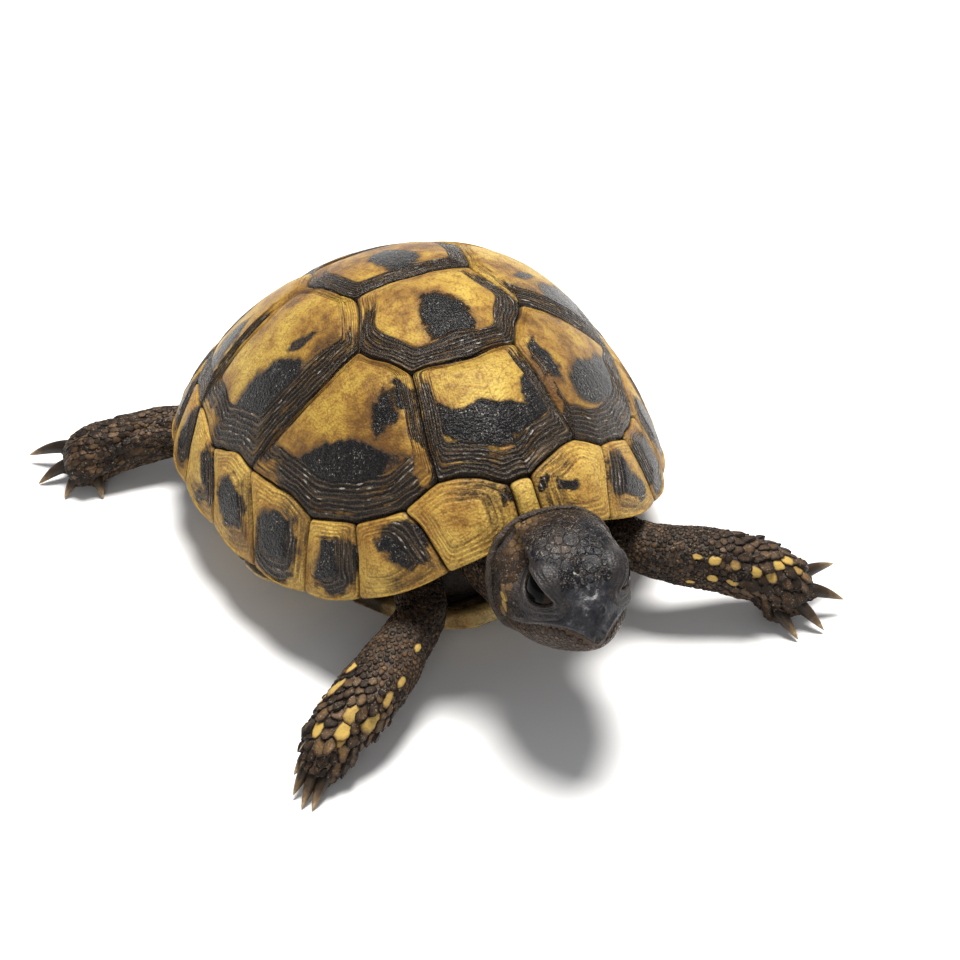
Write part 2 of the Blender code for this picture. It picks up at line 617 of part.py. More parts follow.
centre_x, centre_y = middle_of_model()
tortoise.location = (-centre_x, -centre_y, 0)
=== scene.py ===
"""The looks of a young Hermann's tortoise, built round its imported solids.

Places are worked out in millimetres in the animal's own axes, the same as the solids use: +Z is
up, the head looks along -Y, the animal's left is +X and the shell stands round the middle.
make_mesh() moves them into the frame's axes, in metres.
"""

import itertools
import math

import bmesh
import bpy
import numpy as np
from mathutils import Matrix, Vector
from mathutils.bvhtree import BVHTree
from mathutils.kdtree import KDTree


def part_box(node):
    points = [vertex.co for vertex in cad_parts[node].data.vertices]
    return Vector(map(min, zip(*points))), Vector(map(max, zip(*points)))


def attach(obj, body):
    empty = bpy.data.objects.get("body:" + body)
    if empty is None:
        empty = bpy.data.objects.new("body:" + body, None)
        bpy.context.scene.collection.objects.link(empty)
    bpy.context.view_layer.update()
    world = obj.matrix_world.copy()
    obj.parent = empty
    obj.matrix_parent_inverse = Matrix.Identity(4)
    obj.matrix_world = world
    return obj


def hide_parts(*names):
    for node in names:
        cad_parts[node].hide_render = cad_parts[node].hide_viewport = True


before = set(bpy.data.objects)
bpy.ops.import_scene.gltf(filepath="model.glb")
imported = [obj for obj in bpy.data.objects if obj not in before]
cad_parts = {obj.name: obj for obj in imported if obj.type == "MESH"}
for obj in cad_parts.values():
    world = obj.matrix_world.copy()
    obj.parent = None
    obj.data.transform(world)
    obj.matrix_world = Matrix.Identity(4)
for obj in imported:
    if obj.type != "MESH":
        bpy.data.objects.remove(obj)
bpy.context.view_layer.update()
MM = 0.001

# Carapace: the dome and its seams, as in the solids
SHELL_LENGTH, SHELL_WIDTH, SHELL_HEIGHT = 52.0, 44.2, 27.4
PLAN_POWER, EGG, PEAK_SHIFT = 2.36, 0.13, -3.5
RIM_SIDE, RIM_FRONT_RISE, RIM_REAR_RISE = 7.0, 9.0, 3.6
PROFILE_POWER, PROFILE_CUT = 2.06, 0.956
PROFILE_ROUND_SIDE, PROFILE_ROUND_END = 0.79, 0.89
SCALLOP, PLATE = 0.012, 1.3
NUCHAL_V1, V1_M1_C1, V1_V2_C1 = (0.051, -0.846), (0.325, -0.690), (0.240, -0.329)
V2_C1_C2, V2_V3_C2, V3_C2_C3 = (0.359, -0.126), (0.240, 0.098), (0.288, 0.384)
V3_V4_C3, V4_C3_C4, V4_V5_C4 = (0.215, 0.545), (0.235, 0.690), (0.125, 0.790)
TAIL_TOP = (0.0, 0.915)
MARGINAL_TOPS = [(0.459, -0.673), (0.609, -0.578), (0.736, -0.433), (0.832, -0.102), (0.866, 0.146),
                 (0.790, 0.369), (0.705, 0.540), (0.610, 0.660), (0.500, 0.755), (0.370, 0.830),
                 (0.170, 0.895)]
RIM_SEAMS = [22.6, 43.1, 56.3, 70.8, 87.0, 103.0, 117.0, 130.0, 142.0, 154.0, 168.0]
NUCHAL_HALF_ANGLE = 3.2

# Growth of a plate: the hatchling's plate (the areola) inside rings of horn
STEP = 0.19                    # distance between neighbouring points of a plate
AREOLA = 0.72                  # share of the plate that is the hatchling's
RING_COUNT = 8
RIM_AREOLA, RIM_RING_COUNT = 0.45, 5
BELLY_COARSENESS = 2.0         # the plastron's points stand this much further apart
SEAM_INSET, SEAM_DEPTH, SEAM_WIDTH = 0.02, 0.27, 0.24

# Plastron
PLASTRON_FLOOR = 1.1
BRIDGE_START, BRIDGE_END, BRIDGE_TOP = 10.5, 21.0, 5.35
GULAR_START, GULAR_LIFT = -13.5, 0.033
ANAL_START, ANAL_LIFT = 15.0, 0.012
PLASTRON_BANDS = [("gular", -21.6, -17.4), ("humeral", -17.4, -10.6), ("pectoral", -10.6, -5.4),
                  ("abdominal", -5.4, 8.0), ("femoral", 8.0, 15.6), ("anal", 15.6, 22.6)]
PLASTRON_EDGE = [(-21.6, 4.4), (-19.5, 6.6), (-17.4, 8.2), (-14.0, 10.4), (-11.2, 11.6), (-9.6, 15.0),
                 (-7.6, 20.2), (-5.4, 21.0), (4.0, 21.0), (6.6, 20.2), (8.6, 16.0), (10.4, 12.2),
                 (15.6, 10.8), (19.5, 8.4), (22.6, 4.6)]

# Head: local axes are forward, left and up from its middle
HEAD_CENTRE = np.array((0.0, -31.5, 14.2))
HEAD_YAW, HEAD_PITCH, HEAD_ROLL = math.radians(-3.5), math.radians(20), math.radians(-4)
HEAD_MIDDLE = (1.0, 0.0, 0.0)
EYE_PLACE, EYE_RADIUS = (3.4, 2.4, 1.8), 2.0

# Trunk inside the shell
TRUNK_FRONT, TRUNK_SIDE, TRUNK_REAR = 0.68, 0.79, 0.74

HEAD_STATIONS = [  # forward, half width, top, bottom, squareness of the section
    (-5.0, 3.9, 1.4, -4.0, 2.1), (-4.3, 4.7, 3.6, -4.6, 2.2), (-3.2, 5.25, 5.2, -4.8, 2.3),
    (-1.8, 5.5, 6.0, -4.9, 2.35), (0.2, 5.45, 5.95, -4.8, 2.4), (2.0, 4.95, 5.35, -4.6, 2.4),
    (3.6, 4.15, 4.35, -4.3, 2.35), (5.0, 3.1, 2.9, -3.9, 2.3), (6.0, 2.2, 1.5, -3.5, 2.2),
    (6.7, 1.3, 0.5, -3.0, 2.1), (7.1, 0.6, -0.6, -2.5, 2.0)]
MOUTH = [(-1.6, 5.3, -2.3), (-0.5, 5.3, -1.75), (1.8, 4.7, -1.5), (4.0, 3.6, -1.1), (5.7, 2.2, -1.05),
         (6.6, 1.2, -1.65), (7.1, 0.0, -2.6)]              # forward, out to the side, up
NOSTRIL = (6.55, 0.62, 0.05)
SNOUT_RIDGE = np.array([(4.43, -1.06, 3.36), (5.9, 0.09, 1.63)])      # a crease from the brow to the nose
EYE_OPENING = (0.13, 0.98, 0.11)                           # where the opening looks: forward, out, up
EYE_HALF_LENGTH, EYE_HALF_HEIGHT, EYE_TILT = 74.0, 35.0, -28.0   # degrees on the ball
LID_REACH = 121.0                                          # the lids' skin ends here, in degrees
LID_LIP, LID_THICKNESS = (0.02, 0.09, 0.16, 0.21), 0.24    # cover over the ball, round the edge and beyond

NECK = [  # centre, half width and half height of upright sections
    ((0.1, -14.0, 9.6), 5.2, 4.6), ((0.1, -20.0, 9.7), 5.0, 4.3), ((0.1, -23.6, 10.3), 4.9, 4.1)]
HOOD_STATIONS = [(-5.3, 5.0, 2.2, -5.2, 2.1), (-4.4, 5.65, 4.8, -5.5, 2.2), (-3.5, 5.9, 5.95, -5.55, 2.3),
                 (-3.0, 5.95, 6.15, -5.45, 2.3), (-2.85, 5.7, 5.9, -5.15, 2.3), (-3.4, 4.6, 4.6, -4.2, 2.3)]
TAIL = [((0.0, 15.5, 6.6), 2.6, 2.4), ((0.3, 20.5, 5.4), 2.2, 2.0), ((0.8, 24.0, 3.9), 1.4, 1.3),
        ((1.3, 26.3, 2.6), 0.7, 0.65), ((1.5, 27.3, 2.0), 0.25, 0.25)]
LIMBS = {  # stations are (centre, half width, half height) from the trunk out; a claw is base and tip
    "front_right": dict(
        stations=[((-7.2, -13.5, 7.4), 2.6, 2.6), ((-8.9, -20.4, 6.5), 2.3, 2.2),
                  ((-11.6, -23.2, 6.1), 2.5, 2.4), ((-14.3, -25.3, 5.5), 2.9, 2.6),
                  ((-17.3, -27.0, 4.6), 3.05, 2.5), ((-19.9, -28.2, 3.6), 2.6, 2.4),
                  ((-21.7, -29.2, 2.1), 2.1, 2.4), ((-22.9, -30.0, 1.4), 1.4, 1.7)],
        claws=[((-21.9, -30.4, 1.3), (-24.2, -32.5, 0.15)), ((-22.5, -29.8, 1.6), (-24.9, -31.9, 0.15)),
               ((-22.7, -29.1, 2.0), (-25.1, -30.5, 0.5)), ((-22.2, -28.4, 2.6), (-24.5, -29.3, 1.5)),
               ((-20.9, -28.8, 4.1), (-23.6, -28.7, 3.4))]),
    "front_left": dict(
        stations=[((7.4, -13.5, 7.6), 2.6, 2.6), ((10.6, -21.2, 7.4), 2.4, 2.3),
                  ((13.1, -23.9, 7.0), 2.65, 2.65), ((15.8, -25.3, 6.4), 2.85, 2.85),
                  ((18.5, -26.5, 5.5), 2.95, 2.9), ((21.0, -27.7, 4.4), 2.8, 2.8),
                  ((22.9, -28.9, 2.45), 2.6, 2.85), ((23.9, -29.6, 1.9), 1.8, 2.1)],
        claws=[((21.0, -30.2, 1.6), (21.7, -33.0, 0.3)), ((22.9, -30.4, 1.9), (24.3, -33.1, 0.4)),
               ((24.3, -29.9, 2.5), (27.3, -31.4, 1.5)), ((24.3, -28.5, 3.1), (28.2, -28.1, 2.9)),
               ((23.2, -27.5, 2.6), (26.1, -26.2, 1.8))]),
    "hind_right": dict(
        stations=[((-10.6, 12.0, 5.9), 3.0, 2.5), ((-15.2, 15.6, 4.9), 2.9, 2.2),
                  ((-18.6, 17.9, 4.3), 2.8, 2.3), ((-21.6, 18.9, 4.1), 2.8, 2.6),
                  ((-24.6, 19.5, 3.8), 2.9, 2.7), ((-27.3, 20.2, 3.2), 3.2, 2.7),
                  ((-29.2, 20.8, 2.3), 3.5, 2.5), ((-30.4, 21.1, 1.6), 2.8, 1.7)],
        claws=[((-30.2, 23.7, 2.1), (-33.9, 26.1, 0.9)), ((-30.8, 21.5, 1.5), (-34.1, 21.9, 0.15)),
               ((-30.2, 19.5, 1.4), (-32.3, 18.3, 0.15)), ((-28.7, 18.5, 1.4), (-28.8, 16.5, 0.15))]),
    "hind_left": dict(
        stations=[((9.4, 11.0, 6.2), 3.0, 2.6), ((12.4, 13.4, 5.6), 2.9, 2.5),
                  ((14.6, 15.4, 5.0), 2.8, 2.6), ((15.6, 17.6, 4.4), 2.8, 2.6),
                  ((15.9, 19.6, 3.7), 2.8, 2.6), ((16.1, 21.2, 2.9), 2.9, 2.5),
                  ((16.4, 22.6, 2.1), 3.0, 2.3), ((16.6, 23.6, 1.5), 2.2, 1.5)],
        claws=[((14.9, 23.0, 1.4), (14.1, 25.6, 0.15)), ((16.1, 23.7, 1.4), (16.0, 26.5, 0.15)),
               ((17.5, 23.4, 1.4), (18.4, 26.1, 0.15)), ((18.6, 22.3, 1.5), (20.8, 24.2, 0.15))]),
}
TOE_LENGTH, TOE_RADIUS = 1.15, 0.80
SKIN_DEPTH = 0.16              # how far the skin lies inside the solids, under its scales
VOXEL = 0.27                   # size of the cells that join the body's tubes into one skin
FLOOR_GAP = 0.02               # nothing soft comes lower than this


# ---------------------------------------------------------------- numbers and noise

def smoothstep(low, high, x):
    """0 below low and 1 above high, with a soft slope between; low may be the greater."""
    t = np.clip((np.asarray(x, float) - low) / (high - low), 0, 1)
    return t * t * (3 - 2 * t)


def unit(vectors):
    """The vectors brought to length 1."""
    return vectors / np.maximum(np.linalg.norm(vectors, axis=-1, keepdims=True), 1e-12)


def hill(*slopes):
    """1 at the top and falling off smoothly; each slope is a distance and the width of its fall."""
    return np.exp(-sum((distance / width) ** 2 for distance, width in slopes))


def round_angles(count):
    """Even angles once round, from 0."""
    return 2 * math.pi * np.arange(count) / count


def eased(ring, axis=0):
    """The values of a closed ring, each drawn half-way towards its neighbours."""
    return (np.roll(ring, 1, axis) + 2 * ring + np.roll(ring, -1, axis)) / 4


def cross_axes(ahead):
    """Level axes to the side of a way, and those above it."""
    side = unit(np.cross(ahead, (0, 0, 1)))
    return side, np.cross(side, ahead)


def cell_value(cells, seed):
    """A repeatable number from 0 to 1 for each whole-number cell."""
    mixed = (cells[..., 0] * 374761393 + cells[..., 1] * 668265263 + cells[..., 2] * 1103515245
             + seed * 974634777) & 0xFFFFFFFF
    mixed = ((mixed ^ (mixed >> 13)) * 1274126177) & 0xFFFFFFFF
    return ((mixed ^ (mixed >> 16)) & 0xFFFFFF) / 0xFFFFFF


def noise(points, size, seed=0):
    """Smooth noise from 0 to 1, with features about size across."""
    place = np.asarray(points, float) / size
    base = np.floor(place).astype(np.int64)
    part = place - base
    part = part * part * (3 - 2 * part)
    total = np.zeros(len(place))
    for corner in np.ndindex(2, 2, 2):
        weight = np.prod(np.where(corner, part, 1 - part), axis=1)
        total += weight * cell_value(base + np.array(corner), seed)
    return total


# ---------------------------------------------------------------- axes and meshes

def head_axes():
    """The head's forward, left and up as the columns of a matrix."""
    turn = Matrix.Rotation(HEAD_YAW, 3, 'Z') @ Matrix.Rotation(-HEAD_PITCH, 3, 'X')
    turn = turn @ Matrix.Rotation(-HEAD_ROLL, 3, 'Y')
    return np.array(turn @ Matrix(((0, 1, 0), (-1, 0, 0), (0, 0, 1))))


HEAD_AXES = head_axes()


def from_head(local):
    return HEAD_CENTRE + np.asarray(local, float) @ HEAD_AXES.T


def to_head(points):
    return (np.asarray(points, float) - HEAD_CENTRE) @ HEAD_AXES


eye_low, eye_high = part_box("eye_left")
SHIFT = np.array((eye_low + eye_high) / 2) / MM - from_head(EYE_PLACE)


def grid_faces(rows, columns, closed=True):
    """Quads of a grid of points that runs row by row; closed joins the last column to the first."""
    row = np.arange(rows - 1)[:, None] * columns
    column = np.arange(columns if closed else columns - 1)[None, :]
    after = (column + 1) % columns
    quads = np.stack([row + column, row + after, row + columns + after, row + columns + column], -1)
    return quads.reshape(-1, 4)


def fan_faces(start, columns, tip):
    column = np.arange(columns)
    return np.stack([start + column, start + (column + 1) % columns, np.full(columns, tip)], -1)


def face_lists(faces):
    """Arrays of faces as one list of plain faces."""
    return [tuple(face) for block in faces for face in block.tolist()]


def kd_tree(points):
    """A tree that finds the points nearest to a place."""
    tree = KDTree(len(points))
    for k, place in enumerate(points):
        tree.insert(place, k)
    tree.balance()
    return tree


def turn_outward(mesh):
    """Turn a closed mesh's faces so that they look outward."""
    work = bmesh.new()
    work.from_mesh(mesh)
    bmesh.ops.recalc_face_normals(work, faces=work.faces)
    work.to_mesh(mesh)
    work.free()


def add_object(name, data):
    obj = bpy.data.objects.new(name, data)
    bpy.context.scene.collection.objects.link(obj)
    return obj


def make_mesh(name, points, faces, material, values=None, turn_out=True, bake=None):
    """A smooth mesh object from points in the animal's millimetres and arrays of faces."""
    loops = np.concatenate([f.ravel() for f in faces]).astype(np.int32)
    sizes = np.concatenate([np.full(len(f), f.shape[1]) for f in faces])
    mesh = bpy.data.meshes.new(name)
    mesh.vertices.add(len(points))
    mesh.loops.add(len(loops))
    mesh.polygons.add(len(sizes))
    mesh.vertices.foreach_set("co", ((points + SHIFT) * MM).astype(np.float32).ravel())
    mesh.loops.foreach_set("vertex_index", loops)
    starts = np.concatenate([[0], np.cumsum(sizes)[:-1]]).astype(np.int32)
    mesh.polygons.foreach_set("loop_start", starts)
    mesh.update(calc_edges=True)
    for key, numbers in (values or {}).items():
        layer = mesh.attributes.new(key, 'FLOAT', 'POINT')
        layer.data.foreach_set("value", np.asarray(numbers, np.float32))
    if bake is not None:
        layer = mesh.uv_layers.new(name="OFBake")
        layer.uv.foreach_set("vector", bake[loops].astype(np.float32).ravel())
    if turn_out:
        turn_outward(mesh)
    mesh.shade_smooth()
    mesh.materials.append(material)
    return add_object(name, mesh)


def settle(obj, slot, *nodes):
    """The piece rides on the one body and stands for its nodes; the slot is not used."""
    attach(obj, "root")
    if nodes:
        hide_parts(*nodes)


# ---------------------------------------------------------------- materials

class Number:
    """A number that a material works out at every place; its sums build nodes."""

    def __init__(self, finish, socket):
        self.finish, self.socket = finish, socket

    def __add__(self, other):
        return self.finish.math('ADD', self, other)

    def __sub__(self, other):
        return self.finish.math('SUBTRACT', self, other)

    def __rsub__(self, other):
        return self.finish.math('SUBTRACT', other, self)

    def __mul__(self, other):
        return self.finish.math('MULTIPLY', self, other)

    def __pow__(self, other):
        return self.finish.math('POWER', self, other)


class Finish:
    """Short calls that build the nodes of one material."""

    def __init__(self, name, **settings):
        self.material = bpy.data.materials.new(name)
        self.material.use_nodes = True
        self.tree = self.material.node_tree
        self.shader = self.tree.nodes["Principled BSDF"]
        for key, value in settings.items():
            self.shader.inputs[key.replace("_", " ")].default_value = value
        place = self.node("ShaderNodeTexCoord").outputs["Object"]
        in_mm = self.node("ShaderNodeVectorMath", {0: place, "Scale": 1 / MM}, operation='SCALE')
        self.place = in_mm.outputs[0]

    def fill(self, socket, value):
        """Link what another node gives, or set a plain value."""
        value = getattr(value, "socket", value)
        if isinstance(value, bpy.types.NodeSocket):
            self.tree.links.new(value, socket)
        else:
            socket.default_value = value

    def node(self, kind, inputs=None, **settings):
        made = self.tree.nodes.new(kind)
        for key, value in settings.items():
            setattr(made, key, value)
        for key, value in (inputs or {}).items():
            self.fill(made.inputs[key], value)
        return made

    def math(self, operation, first, second, clamp=False):
        made = self.node("ShaderNodeMath", {0: first, 1: second}, operation=operation, use_clamp=clamp)
        return Number(self, made.outputs[0])

    def value(self, name):
        """The value of that name that the mesh carries at its points."""
        return Number(self, self.node("ShaderNodeAttribute", attribute_name=name).outputs["Fac"])

    def noise(self, size, detail=2.0, place=None, rough=0.5):
        inputs = {"Vector": place or self.place, "Scale": 1 / size, "Detail": detail, "Roughness": rough}
        return Number(self, self.node("ShaderNodeTexNoise", inputs).outputs["Fac"])

    def cells(self, size):
        """Distance from the middle of the nearest of many grains."""
        inputs = {"Vector": self.place, "Scale": 1 / size}
        return Number(self, self.node("ShaderNodeTexVoronoi", inputs, feature='F1').outputs["Distance"])

    def step(self, low, high, value):
        """0 below low and 1 above high, with a soft slope between."""
        inputs = {"Value": value, "From Min": low, "From Max": high}
        made = self.node("ShaderNodeMapRange", inputs, interpolation_type='SMOOTHSTEP')
        return Number(self, made.outputs["Result"])

    def mix(self, share, first, second):
        """The first colour turned into the second by a share from 0 to 1."""
        colours = [(*colour, 1.0) if isinstance(colour, tuple) else colour for colour in (first, second)]
        inputs = {0: share, 6: colours[0], 7: colours[1]}
        return self.node("ShaderNodeMix", inputs, data_type='RGBA').outputs[2]

    def ramp(self, value, *stops):
        made = self.node("ShaderNodeValToRGB", {0: value})
        elements = made.color_ramp.elements
        while len(elements) < len(stops):
            elements.new(1.0)
        for element, (position, colour) in zip(elements, stops):
            element.position = position
            element.color = (*colour, 1.0)
        return made.outputs["Color"]

    def combine(self, x, y, z=0.0):
        return self.node("ShaderNodeCombineXYZ", {0: x, 1: y, 2: z}).outputs[0]

    def finish(self, colour, roughness=None, bumps=()):
        """Link the colour, the roughness and bumps, each a height from 0 to 1 and its depth in mm."""
        made = {"Base Color": colour}
        if roughness is not None:
            made["Roughness"] = roughness
        for height, depth in bumps:
            inputs = {"Height": height, "Distance": depth * MM, "Strength": 1.0}
            if "Normal" in made:
                inputs["Normal"] = made["Normal"]
            made["Normal"] = self.node("ShaderNodeBump", inputs).outputs["Normal"]
        for key, value in made.items():
            self.fill(self.shader.inputs[key], value)
        return self.material


def horn_material(name, pale, ochre, warm, lining=2.4, valley_shade_strength=0.40):
    """Shell horn: yellow to ochre with black-brown marks, fine grains and growth lines."""
    f = Finish(name, IOR=1.5, Specular_IOR_Level=0.17)
    ring, around, seed = f.value("ring"), f.value("around"), f.value("seed")
    in_rings = f.step(-0.04, 0.06, ring)
    grain = f.cells(0.25)
    fine = f.noise(0.16, 4.0, rough=0.65)
    patch = f.noise(0.8, 4.0, rough=0.6)
    broad = f.noise(1.6, 3.0)
    lines = f.noise(1.0, 3.0, f.combine(ring * 11.0, around * 0.22, seed))
    # where the horn is dark: the marks, broken up by grains inside and by growth lines outside
    ragged = (fine - 0.5) * 0.75 + (patch - 0.5) * 0.8
    amount = f.value("dark") + ragged + in_rings * (lines - 0.5) * lining
    black = f.step(0.42, 0.70, amount)
    # the yellow horn, with pits, pale flecks and painted shade in the valleys between the rings
    tone = broad * 0.55 + f.value("tone") * 0.5 + (patch - 0.35) * 0.3
    colour = f.ramp(tone, (0.22, (0.13, 0.062, 0.016)), (0.40, warm), (0.58, ochre), (0.84, pale))
    pits = f.step(0.42, 0.66, grain + (fine - 0.5) * 1.5)
    colour = f.mix(pits * (f.step(0.62, 0.40, patch) * 0.42 + 0.10), colour, (0.105, 0.050, 0.012))
    colour = f.mix(f.step(0.58, 0.76, fine) * 0.35, colour, pale)
    crest = f.value("ridge") + (fine - 0.5) * 0.9
    # painted shade: the valleys between the crests of the rings are darkened
    valley_shade = f.step(0.30, 0.05, crest) * (in_rings * valley_shade_strength)
    colour = f.mix(valley_shade, colour, (0.12, 0.060, 0.018))
    colour = f.mix(f.step(-0.02, 0.48, amount) * 0.82, colour, (0.085, 0.043, 0.015))
    # the dark horn: lined along the rings, even on the hatchling's plate
    deep = f.ramp(lines, (0.30, (0.005, 0.004, 0.004)), (0.54, (0.013, 0.010, 0.008)),
                  (0.66, (0.050, 0.032, 0.019)), (0.78, (0.20, 0.14, 0.075)))
    # painted highlight: the crests of the rings are lighter in the dark horn
    deep = f.mix(f.step(0.70, 1.0, crest) * 0.45, deep, (0.12, 0.083, 0.045))
    core = f.ramp(fine, (0.35, (0.003, 0.003, 0.003)), (0.60, (0.008, 0.007, 0.007)),
                  (0.80, (0.07, 0.055, 0.040)))
    colour = f.mix(black, colour, f.mix(in_rings, core, deep))
    # painted glints: pale specks in the dark horn that stand in for light caught along the crests of the
    # rings and on the grains
    streaks = f.noise(1.0, 3.0, f.combine(ring * 13.0, around * 0.9, seed))
    on_rings = f.step(0.55, 0.66, streaks) * f.step(0.55, 0.9, crest) * in_rings
    on_grains = f.step(0.60, 0.68, f.noise(0.22, 2.0, rough=0.8)) * (1.0 - in_rings)
    painted_glints = (on_rings + on_grains * 0.8) * f.step(0.42, 0.60, broad)
    colour = f.mix(painted_glints * black * 0.70, colour, (0.47, 0.43, 0.37))
    colour = f.mix(f.value("seam") * 0.93, colour, (0.012, 0.008, 0.006))
    roughness = fine * 0.30 + black * -0.15 + 0.26
    sparks = f.noise(0.30, 2.0, rough=0.7) * black
    return f.finish(colour, roughness, [(grain, 0.05), (lines, 0.08), (fine, 0.05), (sparks, 0.16)])


# ---------------------------------------------------------------- the dome and its plates

def dome(disc):
    """Points of the dome over disc points (across, towards the tail), -1 being the front rim."""
    u, v = disc[:, 0], disc[:, 1]
    rho = np.maximum(np.hypot(u, v), 1e-9)
    cu, cv = u / rho, v / rho
    square = (np.abs(cu) ** PLAN_POWER + np.abs(cv) ** PLAN_POWER) ** (-1 / PLAN_POWER)
    fullness = PROFILE_ROUND_SIDE + (PROFILE_ROUND_END - PROFILE_ROUND_SIDE) * cv * cv
    edge = (1 - PROFILE_CUT ** PROFILE_POWER) ** fullness
    here = (1 - (np.minimum(rho, 1) * PROFILE_CUT) ** PROFILE_POWER) ** fullness
    share = (here - edge) / (1 - edge)
    rim = RIM_SIDE + RIM_FRONT_RISE * np.maximum(-cv, 0) ** 4 + RIM_REAR_RISE * np.maximum(cv, 0) ** 4
    x = square * u * SHELL_WIDTH / 2 * (1 + EGG * cv * square)
    y = square * v * SHELL_LENGTH / 2 + PEAK_SHIFT * share
    return np.stack([x, y, rim * (1 - share) + SHELL_HEIGHT * share], -1)


def dome_normal(disc):
    """Ways out of the dome; outside 0.975 of the disc they stay as they are there."""
    rho = np.hypot(disc[:, 0], disc[:, 1])
    near = disc * np.minimum(1.0, 0.975 / np.maximum(rho, 1e-9))[:, None]
    step = 0.01
    across = dome(near + [step, 0]) - dome(near - [step, 0])
    along = dome(near + [0, step]) - dome(near - [0, step])
    return unit(np.cross(across, along))


def bend(disc):
    """The bow of two seams and a slight waver, the same for every plate so that neighbours meet."""
    u, v = disc[:, 0], disc[:, 1]
    bow = 0.056 * hill((u, 0.15), (v + 0.335, 0.09))
    bow += 0.030 * hill((np.abs(u) - 0.6, 0.17), (v + 0.115, 0.07))
    inner = 1 - smoothstep(0.86, 0.99, np.hypot(u, v))
    flat = np.stack([u * SHELL_WIDTH / 2, v * SHELL_LENGTH / 2, np.zeros(len(u))], -1)
    waver = [(noise(flat, 2.2, seed) - 0.5) * 0.016 * inner for seed in (3, 4)]
    return np.stack([u + waver[0], v - bow + waver[1]], -1)


def rim_point(degrees):
    angle = math.radians(degrees)
    return (math.sin(angle), -math.cos(angle))


def shell_surface(disc):
    bent = bend(disc)
    return dome(bent), dome_normal(bent)


def belly_height(x, y):
    """Height of the plastron's underside: flat, rising to the bridges, the front and the rear."""
    out = np.clip((np.abs(x) - BRIDGE_START) / (BRIDGE_END - BRIDGE_START), 0, 1)
    lift = (BRIDGE_TOP - PLASTRON_FLOOR) * out ** 1.6
    lift += GULAR_LIFT * np.maximum(0, GULAR_START - y) ** 2 + ANAL_LIFT * np.maximum(0, y - ANAL_START) ** 2
    return PLASTRON_FLOOR + lift


def belly_surface(flat):
    """Underside of the plastron over (x, y), with normals that point down."""
    x, y = flat[:, 0], flat[:, 1]
    step = 0.1
    dx = (belly_height(x + step, y) - belly_height(x - step, y)) / (2 * step)
    dy = (belly_height(x, y + step) - belly_height(x, y - step)) / (2 * step)
    return np.stack([x, y, belly_height(x, y)], -1), unit(np.stack([dx, dy, -np.ones(len(x))], -1))


def outline(corners, surface, on_rim, step):
    """Points round a plate, a step apart, and how far each belongs to the free rim."""
    border, free = [], []
    for start, end in zip(corners, corners[1:] + corners[:1]):
        ends = np.array([start, end])
        sites = surface(ends)[0]
        steps = max(2, round(np.linalg.norm(sites[1] - sites[0]) / step))
        t = np.arange(steps)[:, None] / steps
        line = ends[0] + (ends[1] - ends[0]) * t
        outer = on_rim(start) and on_rim(end)
        if outer and surface is shell_surface:
            line *= (1 + SCALLOP * np.sin(math.pi * t)) / np.linalg.norm(line, axis=1, keepdims=True)
        border.append(line)
        free.append(np.full(steps, float(outer)))
    border, free = np.concatenate(border), np.concatenate(free)
    for _ in range(3):
        border, free = eased(border), eased(free)
    return border, free


def ragged(flat, site):
    """Plan places pushed about by noise, so that marks get a torn edge."""
    push = [(noise(site, 2.4, seed) - 0.5) * 0.10 + (noise(site, 0.8, seed + 1) - 0.5) * 0.055
            + (noise(site, 0.35, seed + 2) - 0.5) * 0.03 for seed in (61, 71)]
    on_disc = np.abs(flat).max() < 2                       # the plastron is planned in millimetres
    return flat + np.stack(push, -1) * (0.5 if on_disc else 14.0)


def field(flat, marks):
    """Strength of soft elliptical marks (x, y, half length, half width, angle, strength) at points."""
    total = np.zeros(len(flat))
    for x, y, long_radius, short_radius, degrees, strength in marks:
        angle = math.radians(degrees)
        dx, dy = flat[:, 0] - x, flat[:, 1] - y
        along = (dx * math.cos(angle) + dy * math.sin(angle)) / long_radius
        across = (-dx * math.sin(angle) + dy * math.cos(angle)) / short_radius
        total = np.maximum(total, strength * (1 - smoothstep(0.65, 1.35, np.hypot(along, across))))
    return total


def plate_rows(reach, areola, coarseness):
    """Rows of a plate from growth outward, each the share of its way to every border point."""
    longest = reach.max()
    reach_here = np.maximum(reach, 0.9)
    last_ring = np.maximum(1 - (SEAM_INSET + SEAM_WIDTH) / reach_here, areola + 0.02)
    inner = np.linspace(0, areola, max(6, int(longest * areola / (0.28 * coarseness))))[1:]
    rings = np.linspace(0, 1, max(10, int(longest * (1 - areola) / (0.085 * coarseness))))[1:]
    groove = SEAM_INSET + SEAM_WIDTH * np.array([0.72, 0.45, 0.25, 0.1, 0.0])
    rows = [np.full(len(reach), share) for share in inner]
    rows += [areola + (last_ring - areola) * part for part in rings]
    return rows + [np.maximum(1 - gap / reach_here, areola + 0.021) for gap in groove]


def plate_walls(points, site, normal, count, thick):
    """The plate's edge turned down and its underside, added to its points, and their faces."""
    base = len(points)
    last = base - 1 - count
    edge, edge_normal = points[last:-1], normal[last:-1]
    inward = unit(site[-1] - edge)
    walls = [edge - edge_normal * down + inward * shift
             for down, shift in ((0.25, 0.0), (0.8, 0.05), (thick, 0.12))]
    middle = site[-1] - normal[-1] * thick
    walls += [(walls[-1] + middle) / 2 - edge_normal * 0.1, middle[None]]
    here, after = np.arange(count), (np.arange(count) + 1) % count
    faces = [np.stack([last + here, last + after, base + after, base + here], -1),
             grid_faces(4, count) + base, fan_faces(base + 3 * count, count, base + 4 * count)]
    return np.concatenate([points] + walls), faces


